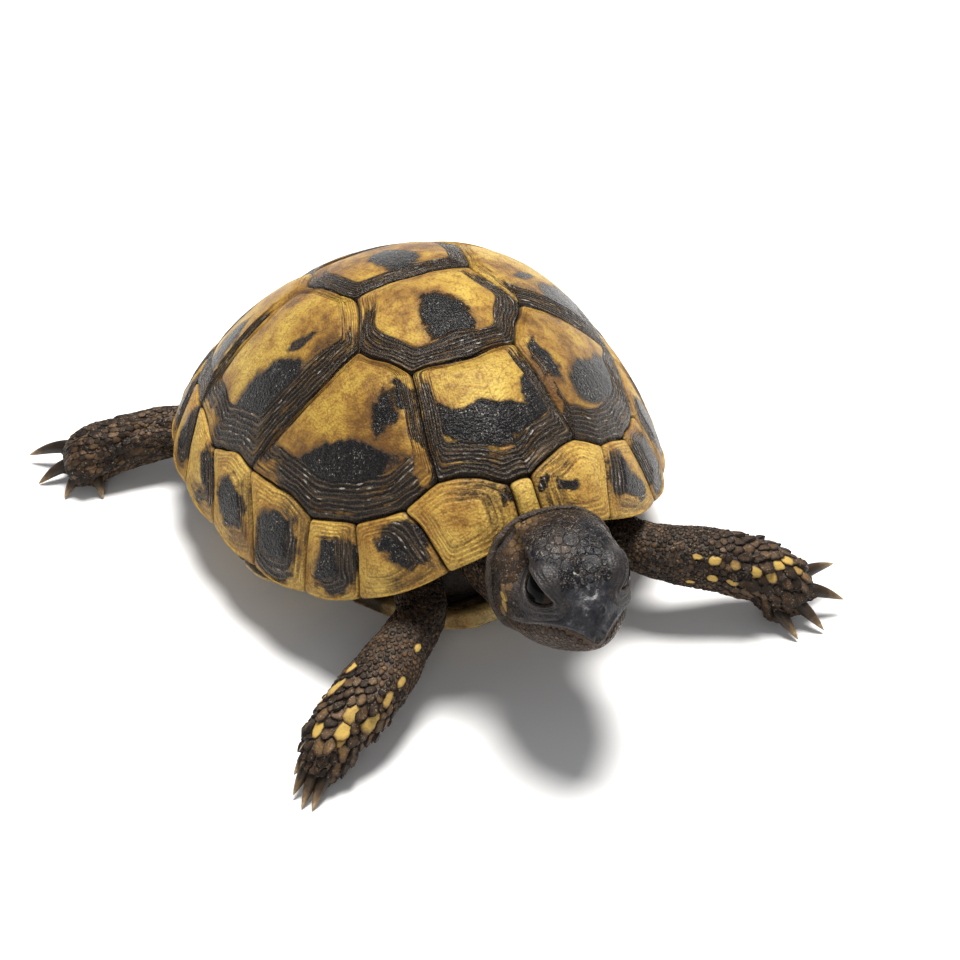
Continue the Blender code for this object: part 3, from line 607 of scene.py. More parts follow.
def plate_mesh(corners, growth, surface, on_rim, seed, dark=(), light=(), ring_dark=(0.0, 0.5, 0.8),
               thick=PLATE - 0.05, crown=0.20, warmth=0.0, areola=AREOLA, ring_count=RING_COUNT,
               relief=0.085, coarseness=1.0):
    """Points, faces and values of one plate: growth rings round growth, a groove at each seam."""
    step = STEP * coarseness
    border, free = outline(corners, surface, on_rim, step)
    growth, count = np.array(growth, float), len(border)
    soft = border.copy()
    for _ in range(int(1.2 / step) ** 2 // 4):
        soft = eased(soft)
    reach = np.linalg.norm(surface(border)[0] - surface(growth[None])[0], axis=1)
    rows = plate_rows(reach, areola, coarseness)

    # the grid: row by row round the plate, and last the middle
    share = np.concatenate(rows)
    softness = smoothstep(1.0, 0.7, share)[:, None]
    target = np.tile(border, (len(rows), 1)) * (1 - softness) + np.tile(soft, (len(rows), 1)) * softness
    flat = np.concatenate([growth + (target - growth) * share[:, None], growth[None]])
    share = np.append(share, 0.0)
    around = np.append(np.tile(np.arange(count) * step, len(rows)), 0.0)
    free = np.append(np.tile(free, len(rows)), 0.0)
    from_edge = np.append(np.concatenate([(1 - row) * reach for row in rows]), reach.max())
    width = np.append(np.tile(reach, len(rows)), 1) * (1 - areola)
    site, normal = surface(flat)

    # relief: a swelling, the ridges of the rings, a fine unevenness and the groove at the seam
    ring = (share - areola) / (1 - areola)
    in_rings = smoothstep(-0.02, 0.05, ring)
    waver = noise(site, 1.3, seed + 20) * 0.7 + noise(site, 0.5, seed + 21) * 0.25
    strength = np.clip(width / 1.6, 0.15, 1.0)
    ridge = 0.5 - 0.5 * np.cos(2 * math.pi * (ring * ring_count + waver))
    height = crown * (1 - share ** 2.2)
    height += 0.07 * (1 - in_rings) + in_rings * strength * relief * ridge ** 1.4
    height -= 0.10 * np.clip(ring, 0, 1) ** 1.5 * strength
    height += 0.03 * noise(site, 0.9, seed + 9)
    groove = 1 - smoothstep(SEAM_INSET, SEAM_INSET + SEAM_WIDTH, from_edge)
    height -= SEAM_DEPTH * groove ** 1.3 * (1 - free) + 0.22 * groove ** 2 * free
    points = site + normal * height[:, None]

    # darkness: the rings on the side that grew most, and the plate's own marks
    toward = unit(flat - growth) @ unit(border.mean(0) - growth)
    low, high, amount = ring_dark
    darkness = amount * smoothstep(low, high, toward) * smoothstep(-0.03, 0.10, ring)
    torn = ragged(flat, site)
    darkness = np.maximum(darkness, field(torn, dark)) * (1 - field(torn, light))
    darkness *= 1 - free * smoothstep(0.55, 0.95, ring) * 0.9
    seam = (1 - smoothstep(0.02, 0.20, from_edge)) * (1 - free)
    values = {"dark": darkness, "ring": ring, "ridge": ridge * in_rings, "around": around, "seam": seam,
              "tone": noise(site, 3.0, seed + 5) + warmth, "seed": np.full(len(flat), seed * 3.7)}

    faces = [fan_faces(0, count, len(points) - 1), grid_faces(len(rows), count)]
    whole, wall_faces = plate_walls(points, site, normal, count, thick)
    for key, numbers in values.items():
        values[key] = np.concatenate([numbers, np.tile(numbers[-1 - count:-1], 4), [0.0]])
    return whole, faces + wall_faces, values


def on_shell_rim(corner):
    return math.hypot(*corner) > 0.999


def shell_plate(name, corners, growth, material, slot, seed, **looks):
    points, faces, values = plate_mesh(corners, growth, shell_surface, on_shell_rim, seed, **looks)
    settle(make_mesh(f"{name}_horn", points, faces, material, values), slot, name)


def mirror(corners):
    return [(-u, v) for u, v in reversed(corners)]


def both_sides(half):
    return half + [(-u, v) for u, v in reversed(half) if abs(u) > 1e-6]


def mirror_marks(marks):
    return [(-u, v, long_radius, short_radius, 180 - degrees, strength)
            for u, v, long_radius, short_radius, degrees, strength in marks]


# Marks of each plate on the disc: (across, towards the tail, half length, half width, angle, strength)
DARK_MARKS = {
    "vertebral_1": [(0.00, -0.640, 0.19, 0.068, 0, 1.15), (-0.19, -0.575, 0.10, 0.05, 125, 0.95),
                    (0.20, -0.570, 0.12, 0.055, 55, 1.1), (0.0, -0.72, 0.26, 0.06, 0, 0.62)],
    "vertebral_2": [(0.00, -0.175, 0.105, 0.105, 0, 1.0), (-0.01, -0.125, 0.06, 0.05, 0, 1.2),
                    (0.0, -0.28, 0.10, 0.05, 0, 0.9)],
    "vertebral_3": [(0.0, 0.265, 0.07, 0.105, 0, 0.95), (-0.02, 0.15, 0.05, 0.05, 0, 0.8)],
    "vertebral_4": [(0.0, 0.60, 0.06, 0.07, 0, 0.9)],
    "vertebral_5": [(0.0, 0.84, 0.10, 0.035, 0, 0.8)],
    "costal_1_right": [(-0.575, -0.415, 0.19, 0.080, -42, 1.2), (-0.37, -0.385, 0.06, 0.06, 0, 0.75),
                       (-0.285, -0.40, 0.09, 0.03, 105, 0.8), (-0.43, -0.55, 0.06, 0.035, -30, 0.55)],
    "costal_1_left": [(0.57, -0.40, 0.19, 0.078, 37, 1.1), (0.33, -0.375, 0.10, 0.050, 105, 0.8)],
    "costal_2_right": [(-0.69, 0.03, 0.17, 0.115, -20, 1.15), (-0.80, 0.15, 0.08, 0.05, 70, 0.9),
                       (-0.47, 0.075, 0.065, 0.03, -35, 0.7), (-0.48, -0.05, 0.14, 0.05, 0, 0.42)],
    "costal_3_right": [(-0.60, 0.47, 0.12, 0.055, 8, 1.0)],
    "costal_4_right": [(-0.47, 0.715, 0.08, 0.035, -20, 0.9)],
    "marginal_1_right": [(-0.09, -0.868, 0.05, 0.03, 60, 0.75), (-0.17, -0.815, 0.12, 0.02, -28, 0.45)],
    "marginal_1_left": [(0.095, -0.865, 0.035, 0.022, 30, 0.9), (0.195, -0.875, 0.055, 0.02, 5, 0.8)],
    "marginal_2_right": [(-0.485, -0.755, 0.10, 0.055, -68, 1.0)],
    "marginal_2_left": [(0.485, -0.745, 0.09, 0.045, 60, 1.0), (0.56, -0.755, 0.06, 0.035, 20, 0.75)],
    "marginal_3_right": [(-0.70, -0.605, 0.095, 0.065, -55, 1.0)],
    "marginal_4_right": [(-0.86, -0.37, 0.10, 0.07, -70, 1.0)],
    "marginal_5_right": [(-0.925, -0.10, 0.105, 0.045, 88, 0.95)],
}
LIGHT_MARKS = {
    "vertebral_1": [(-0.03, -0.735, 0.07, 0.030, 0, 0.35)],
    "costal_1_right": [(-0.352, -0.575, 0.12, 0.020, 98, 1.0), (-0.32, -0.23, 0.12, 0.03, 118, 1.0),
                       (-0.80, -0.18, 0.08, 0.04, 100, 0.8)],
    "costal_1_left": [(0.302, -0.575, 0.13, 0.020, 82, 1.0), (0.32, -0.23, 0.12, 0.03, 62, 1.0)],
    "costal_2_right": [(-0.82, 0.30, 0.10, 0.05, 90, 0.9)],
}
GROWTH = {"vertebral": [(0.0, -0.42), (0.0, -0.03), (0.0, 0.37), (0.0, 0.655), (0.0, 0.865)],
          "costal": [(0.42, -0.235), (0.43, 0.22), (0.42, 0.52), (0.36, 0.755)]}


def marks_of(name):
    """A plate's marks, or those of its partner on the other side, mirrored."""
    if name in DARK_MARKS:
        return {"dark": DARK_MARKS[name], "light": LIGHT_MARKS.get(name, [])}
    partner = name.replace("_left", "_right") if name.endswith("_left") else name.replace("_right", "_left")
    return {"dark": mirror_marks(DARK_MARKS.get(partner, [])),
            "light": mirror_marks(LIGHT_MARKS.get(partner, []))}


def side_mark(corners, sign):
    """The dark mark of a rim plate that has none of its own, slanting with its front seam."""
    front = (np.array(corners[0]) * 1.2 + np.array(corners[3]) * 0.8) / 2
    heart = front * 0.72 + np.mean(corners, axis=0) * 0.28
    slant = math.degrees(math.atan2(*(np.array(corners[0]) - corners[-1])[::-1]))
    return (sign * heart[0], heart[1], 0.085, 0.05, slant if sign == 1 else 180 - slant, 1.0)


def build_carapace():
    horn = horn_material("shell_horn", (0.57, 0.405, 0.080), (0.42, 0.265, 0.047), (0.29, 0.155, 0.030))
    edge_horn = horn_material("rim_horn", (0.58, 0.39, 0.090), (0.44, 0.265, 0.055), (0.32, 0.165, 0.033),
                              lining=1.1, valley_shade_strength=0.14)
    tops, rim = MARGINAL_TOPS, [rim_point(angle) for angle in RIM_SEAMS]
    nuchal_rim = rim_point(NUCHAL_HALF_ANGLE)
    vertebrals = [[NUCHAL_V1, V1_M1_C1, V1_V2_C1], [V1_V2_C1, V2_C1_C2, V2_V3_C2],
                  [V2_V3_C2, V3_C2_C3, V3_V4_C3], [V3_V4_C3, V4_C3_C4, V4_V5_C4],
                  [V4_V5_C4, tops[9], tops[10], TAIL_TOP]]
    costals = [[V1_M1_C1, tops[0], tops[1], tops[2], tops[3], V2_C1_C2, V1_V2_C1],
               [V2_C1_C2, tops[3], tops[4], tops[5], V3_C2_C3, V2_V3_C2],
               [V3_C2_C3, tops[5], tops[6], tops[7], V4_C3_C4, V3_V4_C3],
               [V4_C3_C4, tops[7], tops[8], tops[9], V4_V5_C4]]
    marginals = [[NUCHAL_V1, V1_M1_C1, tops[0], rim[0], nuchal_rim]]
    marginals += [[tops[k - 1], tops[k], rim[k], rim[k - 1]] for k in range(1, 11)]
    supracaudal = [tops[10], TAIL_TOP, rim_point(180), rim[10]]

    shell_plate("nuchal", both_sides([nuchal_rim, NUCHAL_V1]), (0.0, -0.92), edge_horn, "shell_edge", 1,
                ring_dark=(0.0, 0.5, 0.1))
    for k, half in enumerate(vertebrals, 1):
        name = f"vertebral_{k}"
        shell_plate(name, both_sides(half), GROWTH["vertebral"][k - 1], horn, "shell", 10 + k,
                    ring_dark=(-0.55, 0.15, 0.86), warmth=(0.08, -0.34, -0.52, -0.36, -0.26)[k - 1],
                    **marks_of(name))
    for k, corners in enumerate(costals, 1):
        growth = GROWTH["costal"][k - 1]
        for side, shape, centre in (("left", corners, growth),
                                    ("right", mirror(corners), (-growth[0], growth[1]))):
            name = f"costal_{k}_{side}"
            shell_plate(name, shape, centre, horn, "shell", 20 + 2 * k + (side == "left"),
                        ring_dark=(0.05, 0.55, 0.84), warmth=-0.42 if k == 1 else -0.22, **marks_of(name))
    for k, corners in enumerate(marginals + [supracaudal], 1):
        outer_rear = np.array(corners[-2]) if k == 1 else np.array(corners[2])
        growth = tuple(0.45 * np.mean(corners, axis=0) + 0.55 * (0.93 * outer_rear))
        for side, sign in (("left", 1), ("right", -1)):
            name = f"marginal_{k}_{side}" if k < 12 else f"supracaudal_{side}"
            shape = corners if sign == 1 else mirror(corners)
            looks = marks_of(name)
            if not looks["dark"]:
                looks["dark"] = [side_mark(corners, sign)]
            shell_plate(name, shape, (sign * growth[0], growth[1]), edge_horn, "shell_edge",
                        40 + 2 * k + (side == "left"), crown=0.12, ring_dark=(0.4, 0.9, 0.30),
                        areola=RIM_AREOLA, ring_count=RIM_RING_COUNT, relief=0.045, **looks)


build_carapace()


# ---------------------------------------------------------------- plastron

def belly_half_width(y):
    ys, widths = zip(*PLASTRON_EDGE)
    return np.interp(y, ys, widths)


def belly_plate(side, name, front, rear, seed):
    """One plate of a pair: its border runs along the midline, the seams and the free edge."""
    rows = [front] + [y for y, _ in PLASTRON_EDGE if front + 0.8 < y < rear - 0.8] + [rear]
    first = 0.9 if name == "gular" else 0.0
    last = -2.4 if name == "anal" else 0.0
    corners = [(0.0, front + first)]
    corners += [(side * float(belly_half_width(y)) * 0.995, y) for y in rows]
    corners.append((0.0, rear + last))
    if side < 0:
        corners.reverse()
    growth = (side * 0.62 * float(belly_half_width((front + rear) / 2)), front * 0.35 + rear * 0.65)
    wide, deep = abs(growth[0]), rear - front
    mark = (side * wide * 0.62, (front + rear) / 2 - deep * 0.03, min(wide * 0.42, 3.6), deep * 0.36, 0, 1.1)

    def on_rim(corner):
        at_end = (name == "gular" and corner[1] < -20.6) or (name == "anal" and corner[1] > 20.1)
        free = corner[1] < -13.5 or corner[1] > 8.0
        return at_end or (free and abs(corner[0]) > 0.97 * belly_half_width(corner[1]))

    # the plastron's own dark side bands; on the pectoral and abdominal plates they are made darker as
    # painted shade on the bridge under the shell
    side_dark_and_shade = 0.9 if name in ("pectoral", "abdominal") else 0.25
    return plate_mesh(corners, growth, belly_surface, on_rim, seed, dark=[] if name == "gular" else [mark],
                      ring_dark=(-1.2, 0.4, side_dark_and_shade), thick=PLATE - 0.1, crown=0.0,
                      coarseness=BELLY_COARSENESS)


def join(parts):
    """One set of points, faces and values from several."""
    points = np.concatenate([part[0] for part in parts])
    faces, start = [], 0
    for part in parts:
        faces += [f + start for f in part[1]]
        start += len(part[0])
    values = {key: np.concatenate([part[2][key] for part in parts]) for key in parts[0][2]}
    return points, faces, values


def build_plastron():
    horn = horn_material("belly_horn", (0.60, 0.45, 0.19), (0.52, 0.36, 0.13), (0.42, 0.26, 0.09))
    for k, (name, front, rear) in enumerate(PLASTRON_BANDS):
        pair = [belly_plate(side, name, front, rear, 80 + 2 * k + (side > 0)) for side in (-1, 1)]
        points, faces, values = join(pair)
        settle(make_mesh(f"{name}_horn", points, faces, horn, values), "belly", name)


build_plastron()


# ---------------------------------------------------------------- shapes of the soft parts

def spline(rows, per):
    """Rows of numbers joined by a smooth curve through them, per points to a stretch."""
    rows = np.asarray(rows, float)
    before = np.concatenate([2 * rows[:1] - rows[1:2], rows, 2 * rows[-1:] - rows[-2:-1]])
    t = (np.arange(per) / per).reshape((per,) + (1,) * (rows.ndim - 1))
    pieces = []
    for k in range(len(rows) - 1):
        a, b, c, d = before[k:k + 4]
        pieces.append(0.5 * (2 * b + (c - a) * t + (2 * a - 5 * b + 4 * c - d) * t ** 2
                             + (3 * b - a - 3 * c + d) * t ** 3))
    return np.concatenate(pieces + [rows[-1:]])


def loft(rings):
    """Points and faces of a closed skin over rings (ring, point, axis)."""
    rows, columns = rings.shape[:2]
    points = np.concatenate([rings.reshape(-1, 3), rings[:1].mean(1), rings[-1:].mean(1)])
    total = rows * columns
    faces = [grid_faces(rows, columns), fan_faces(0, columns, total)[:, ::-1],
             fan_faces(total - columns, columns, total + 1)]
    return points, faces, {}


def tube_rings(stations):
    """Rings of a limb or the tail, square to its line, SKIN_DEPTH inside its stations."""
    table = spline([(*centre, wide, high) for centre, wide, high in stations], 10)
    centres = table[:, :3]
    side, above = cross_axes(unit(np.gradient(centres, axis=0)))
    angle = round_angles(40)
    wide, high = (np.maximum(table[:, k] - SKIN_DEPTH, 0.1)[:, None, None] for k in (3, 4))
    return (centres[:, None] + side[:, None] * wide * np.cos(angle)[:, None]
            + above[:, None] * high * np.sin(angle)[:, None])


def head_section(forward, angle, wide, top, bottom, square, shrink=0.0):
    """Points of squared-off ovals across the head, at angles round its axis."""
    c, s = np.cos(angle), np.sin(angle)
    left = np.sign(c) * np.abs(c) ** (2 / square) * (wide - shrink)
    up = (top + bottom) / 2 + np.sign(s) * np.abs(s) ** (2 / square) * ((top - bottom) / 2 - shrink)
    return np.stack([np.broadcast_to(forward, angle.shape), left, up], -1)


def trunk_rings():
    """Rings of the body inside the shell, from under the dome's top down to the belly's middle."""
    angle = round_angles(72)
    front, rear = np.maximum(np.cos(angle), 0) ** 1.5, np.maximum(-np.cos(angle), 0) ** 1.5
    reach = TRUNK_SIDE + (TRUNK_FRONT - TRUNK_SIDE) * front + (TRUNK_REAR - TRUNK_SIDE) * rear
    way = np.stack([np.sin(angle), -np.cos(angle)], -1) * reach[:, None]
    depth = PLATE + SKIN_DEPTH + 0.35
    rings = []
    for share in (0.08, 0.3, 0.58, 0.82, 1.0):
        disc = way * share
        rings.append(dome(disc) - dome_normal(disc) * depth)
    flat = rings[-1][:, :2] * 0.93
    foot = np.column_stack([flat, belly_height(flat[:, 0], flat[:, 1]) + depth])
    rings += [(rings[-1] + foot) / 2, foot]
    for share in (0.55, 0.1):
        flat = foot[:, :2] * share
        rings.append(np.column_stack([flat, belly_height(flat[:, 0], flat[:, 1]) + depth]))
    return np.stack(rings)


def neck_rings():
    """Rings of the neck, and of the hood of skin that wraps the back of the head."""
    angle = round_angles(72)
    rings = [np.array(centre) + np.stack([np.cos(angle) * (wide - SKIN_DEPTH), 0 * angle,
                                          np.sin(angle) * (high - SKIN_DEPTH)], -1)
             for centre, wide, high in NECK]
    rings += [from_head(head_section(forward, angle, *section, SKIN_DEPTH))
              for forward, *section in HOOD_STATIONS]
    return spline(np.stack(rings), 5)


def toe(base, tip):
    """The round swelling behind a claw, longest along it."""
    base = np.array(base)
    ahead = unit(np.array(tip) - base)
    side, above = cross_axes(ahead)
    polar = math.pi * np.arange(1, 12) / 12
    angle = round_angles(16)
    rings = (np.cos(polar)[:, None, None] * ahead * TOE_LENGTH
             + np.sin(polar)[:, None, None] * (np.cos(angle)[:, None] * side * TOE_RADIUS
                                               + np.sin(angle)[:, None] * above * TOE_RADIUS))
    return loft(base - ahead * 0.25 + rings)


def fused(parts):
    """Closed shells joined into one even skin: its points, faces and normals."""
    points, faces, _ = join(parts)
    mesh = bpy.data.meshes.new("fuse")
    mesh.from_pydata(points.tolist(), [], face_lists(faces))
    turn_outward(mesh)
    obj = add_object("fuse", mesh)
    modifier = obj.modifiers.new("fuse", 'REMESH')
    modifier.mode, modifier.voxel_size = 'VOXEL', VOXEL
    smooth = obj.modifiers.new("soften", 'SMOOTH')
    smooth.factor, smooth.iterations = 0.5, 6
    made = obj.evaluated_get(bpy.context.evaluated_depsgraph_get()).to_mesh()
    points, faces, normals = read_mesh(made)
    bpy.data.objects.remove(obj)
    bpy.data.meshes.remove(mesh)
    return points, faces, normals


def read_mesh(mesh):
    """Points, arrays of faces and normals at the points."""
    points = np.empty(len(mesh.vertices) * 3)
    mesh.vertices.foreach_get("co", points)
    normals = np.empty(len(mesh.vertices) * 3)
    mesh.vertices.foreach_get("normal", normals)
    loops = np.empty(len(mesh.loops), np.int64)
    mesh.loops.foreach_get("vertex_index", loops)
    sizes = np.empty(len(mesh.polygons), np.int64)
    mesh.polygons.foreach_get("loop_total", sizes)
    starts = np.concatenate([[0], np.cumsum(sizes)[:-1]])
    faces = []
    for size in np.unique(sizes):
        first = starts[sizes == size]
        faces.append(loops[first[:, None] + np.arange(size)])
    return points.reshape(-1, 3), faces, normals.reshape(-1, 3)


DISC_LINE = np.linspace(-1, 1, 121)
DISC = np.stack(np.meshgrid(DISC_LINE, DISC_LINE), -1).reshape(-1, 2)
DISC = DISC[np.hypot(DISC[:, 0], DISC[:, 1]) <= 1.0]


def keep_under_shell(points):
    """Skin that would come up through the carapace is pushed back under it."""
    sites, ways = dome(DISC), dome_normal(DISC)
    tree = kd_tree(sites)
    moved = points.copy()
    rim = np.abs(points[:, 0] / (SHELL_WIDTH / 2)) ** PLAN_POWER
    rim += np.abs(points[:, 1] / (SHELL_LENGTH / 2)) ** PLAN_POWER
    for k in np.flatnonzero((points[:, 2] > 5.0) & (rim < 1.0)):
        _, index, gap = tree.find(points[k])
        inside_rim = np.hypot(*DISC[index]) < 0.985
        if gap < 3.5 and inside_rim:
            above = (points[k] - sites[index]) @ ways[index] + PLATE + 0.25
            if above > 0:
                moved[k] -= ways[index] * above
    return moved


# ---------------------------------------------------------------- head

def head_place(forward, turns):
    """The plain head surface at forward places and angles in turns round the head's axis."""
    table = HEAD_SURFACE
    row = np.clip(np.searchsorted(table[:, 0], forward) - 1, 0, len(table) - 2)
    part = np.clip((forward - table[row, 0]) / (table[row + 1, 0] - table[row, 0]), 0, 1)[:, None]
    sections = (table[row] * (1 - part) + table[row + 1] * part).T
    return head_section(forward, 2 * math.pi * turns, *sections[1:])


HEAD_SURFACE = spline(HEAD_STATIONS, 12)
EYE_CENTRE = np.array(EYE_PLACE)


def eye_axes():
    """Axes of the left eye in head axes: out of the eye, along its opening, up across it."""
    out = unit(np.array(EYE_OPENING))
    along = unit(np.cross((0, 0, 1), out))
    along = along if along[0] > 0 else -along
    up = unit(np.cross(out, along))
    up = up if up[2] > 0 else -up
    tilt = math.radians(EYE_TILT)
    return np.array([out, math.cos(tilt) * along + math.sin(tilt) * up,
                     math.cos(tilt) * up - math.sin(tilt) * along])


EYE_AXES = eye_axes()


def opening_radius(around):
    """Angle in radians from the eye's axis to the lids' edge, a rounded almond."""
    c, s = np.cos(around), np.sin(around)
    length, height = math.radians(EYE_HALF_LENGTH), math.radians(EYE_HALF_HEIGHT)
    lower = np.where(s < 0, 0.88, 1.0)
    return (np.abs(c / length) ** 1.75 + np.abs(s / (height * lower)) ** 1.75) ** (-1 / 1.75)


def mouth_curve():
    half = spline(MOUTH, 24)
    return np.concatenate([half, half[::-1][1:] * (1, -1, 1)])


def head_features(local):
    """Offset along the normal that carves the mouth, nostrils, sockets and folds, and their values."""
    forward, left, up = local.T
    side = np.abs(left)
    curve = mouth_curve()
    tree = kd_tree(curve)
    found = [tree.find(place) for place in local]
    gap = np.array([item[2] for item in found])
    index = np.array([item[1] for item in found])
    above = up - curve[index, 2]
    front = smoothstep(-1.4, 0.4, forward)
    on_mouth = front * smoothstep(3.0, 1.0, gap)
    # the slit of the mouth, the lip over it and the groove and roll of the jaw under it
    offset = -0.30 * hill((gap, 0.13)) * smoothstep(-1.6, -0.8, forward)
    offset += 0.17 * hill((gap - 0.28, 0.24)) * (above > 0) * front
    offset -= 0.22 * hill((gap, 0.9)) * (above <= 0) * front
    offset += 0.08 * hill((gap - 0.9, 0.5)) * (above <= 0) * front
    nostril = np.linalg.norm(np.stack([forward, side, up], -1) - NOSTRIL, axis=1)
    offset -= 0.42 * hill((nostril, 0.17))
    offset += 0.07 * hill((nostril - 0.34, 0.13))
    # ridge of the beak, the dip between the eyes and the brows over them
    beak = smoothstep(4.6, 6.4, forward) * (up > -2.9)
    offset += 0.12 * hill((left, 0.45)) * beak * smoothstep(-0.4, -1.4, up)
    offset -= 0.20 * hill((left, 1.0), (forward - 4.9, 1.0)) * (up > 0)
    offset += 0.22 * hill((forward - 2.7, 1.7), (side - 3.2, 1.0), (up - 4.2, 1.0))
    # the raised crease of the snout, the folds of the nape, the hollow cheek and the full temple
    start, way = SNOUT_RIDGE[0], SNOUT_RIDGE[1] - SNOUT_RIDGE[0]
    share = np.clip((local - start) @ way / (way @ way), 0, 1)
    crease = np.linalg.norm(local - start - share[:, None] * way, axis=1)
    offset += 0.17 * hill((crease, 0.24)) - 0.07 * hill((crease - 0.5, 0.2))
    nape = smoothstep(-0.6, -2.0, forward) * smoothstep(1.0, 3.0, up)
    waver = (noise(local, 1.2, 41) - 0.5) * 2.5
    offset += 0.05 * nape * np.cos(2 * math.pi * forward / 0.55 + waver)
    offset -= 0.25 * hill((forward + 0.6, 1.2), (side - 5.0, 1.5), (up + 0.2, 1.1))
    offset += 0.22 * hill((forward + 2.1, 1.2), (side - 5.2, 1.5), (up + 1.2, 1.3))
    horny = smoothstep(4.6, 5.7, forward + 0.30 * side) * (up < 2.2)
    horny = horny * np.where(above > 0, 1, smoothstep(0.75, 0.45, gap))
    horny = horny + 0.7 * on_mouth * (above > 0) * smoothstep(0.9, 0.5, gap)
    # the values also mark where the skin gets painted shade (the mouth's slit, the nostrils) and a painted
    # highlight (along the snout's crease)
    values = {"mouth": hill((gap, 0.16)) * smoothstep(-1.5, -0.8, forward),
              "nostril": hill((nostril, 0.2)), "beak": np.clip(horny, 0, 1), "jaw": on_mouth * (above <= 0),
              "lip": hill((gap - 0.27, 0.11)) * (above > 0) * front * smoothstep(5.2, 4.2, forward),
              "snout_highlight": hill((crease, 0.20)) * smoothstep(0.0, 0.25, share) * smoothstep(1.0, 0.8, share)}
    return offset, values


def by_side(left):
    """What mirrors a place on the right of the head to the left, and back."""
    return np.where(left < 0, (1, -1, 1), (1, 1, 1))


def from_nearer_eye(local):
    """Places in the axes of the eye on their side, their angles from its axis, and where it opens."""
    way = (local * by_side(local[:, 1:2]) - EYE_CENTRE) @ EYE_AXES.T
    polar = np.arctan2(np.hypot(way[:, 1], way[:, 2]), way[:, 0])
    return way, polar, opening_radius(np.arctan2(way[:, 2], way[:, 1]))


def in_socket(local):
    """How far each point lies inside a socket, 0 to 1, and its place in that eye's axes."""
    way, polar, edge = from_nearer_eye(local)
    return smoothstep(edge + math.radians(15), edge + math.radians(9), polar), way


def ball_ways(polar, around):
    """Unit ways in an eye's axes, at angles from its own axis and round it."""
    polar, around = np.broadcast_arrays(polar, around)
    return np.stack([np.cos(polar), np.sin(polar) * np.cos(around), np.sin(polar) * np.sin(around)], -1)


def over_ball(distance):
    """Distances from the eye's middle, eased out so that nothing comes nearer than the lids need."""
    cover, ease = EYE_RADIUS + 0.12, 0.22
    return distance + ease * np.logaddexp(0, (cover - distance) / ease)


def from_eye(way, left):
    """Back from an eye's own axes to head axes, on the side that left says."""
    return (way @ EYE_AXES + EYE_CENTRE) * by_side(left)


def head_mesh():
    """The head with its features carved and its sockets sunk."""
    rows, columns = 240, 210
    low, high = HEAD_STATIONS[0][0], HEAD_STATIONS[-1][0]
    share = np.linspace(0, 1, rows)
    forward = low + (high - low) * (0.55 * share + 0.45 * (1 - (1 - share) ** 2))
    turns = np.arange(columns) / columns
    local = head_place(np.repeat(forward, columns), np.tile(turns, rows))
    grid = local.reshape(rows, columns, 3)
    around = np.roll(grid, -1, 1) - np.roll(grid, 1, 1)
    along = np.gradient(grid, axis=0)
    normal = unit(np.cross(around, along)).reshape(-1, 3)
    outward = np.sum(normal * (local - HEAD_MIDDLE), axis=1)
    normal *= np.where(np.median(outward) < 0, -1, 1)
    offset, values = head_features(local)
    local = local + normal * (offset - SKIN_DEPTH * 0.5)[:, None]
    socket, way = in_socket(local)
    depth = np.linalg.norm(way, axis=1)
    pushed = over_ball(depth)
    way = way * (pushed / depth)[:, None]
    sunk = np.minimum(pushed, EYE_RADIUS - 0.35) * socket + pushed * (1 - socket)
    left = local[:, 1:2]
    local = np.where(socket[:, None] > 0, from_eye(unit(way) * sunk[:, None], left), from_eye(way, left))
    values["socket"] = socket
    points, faces, _ = loft(from_head(local).reshape(rows, columns, 3))
    values = {key: np.append(numbers, [numbers[0], numbers[-1]]) for key, numbers in values.items()}
    return points, faces, values


def head_tree():
    """The head's surface without its features, for lids and scales to lie on, in head axes."""
    rows, columns = 120, 96
    forward = np.linspace(HEAD_STATIONS[0][0], HEAD_STATIONS[-1][0], rows)
    local = head_place(np.repeat(forward, columns), np.tile(np.arange(columns) / columns, rows))
    points, faces, _ = loft(local.reshape(rows, columns, 3))
    return BVHTree.FromPolygons(points.tolist(), face_lists(faces))


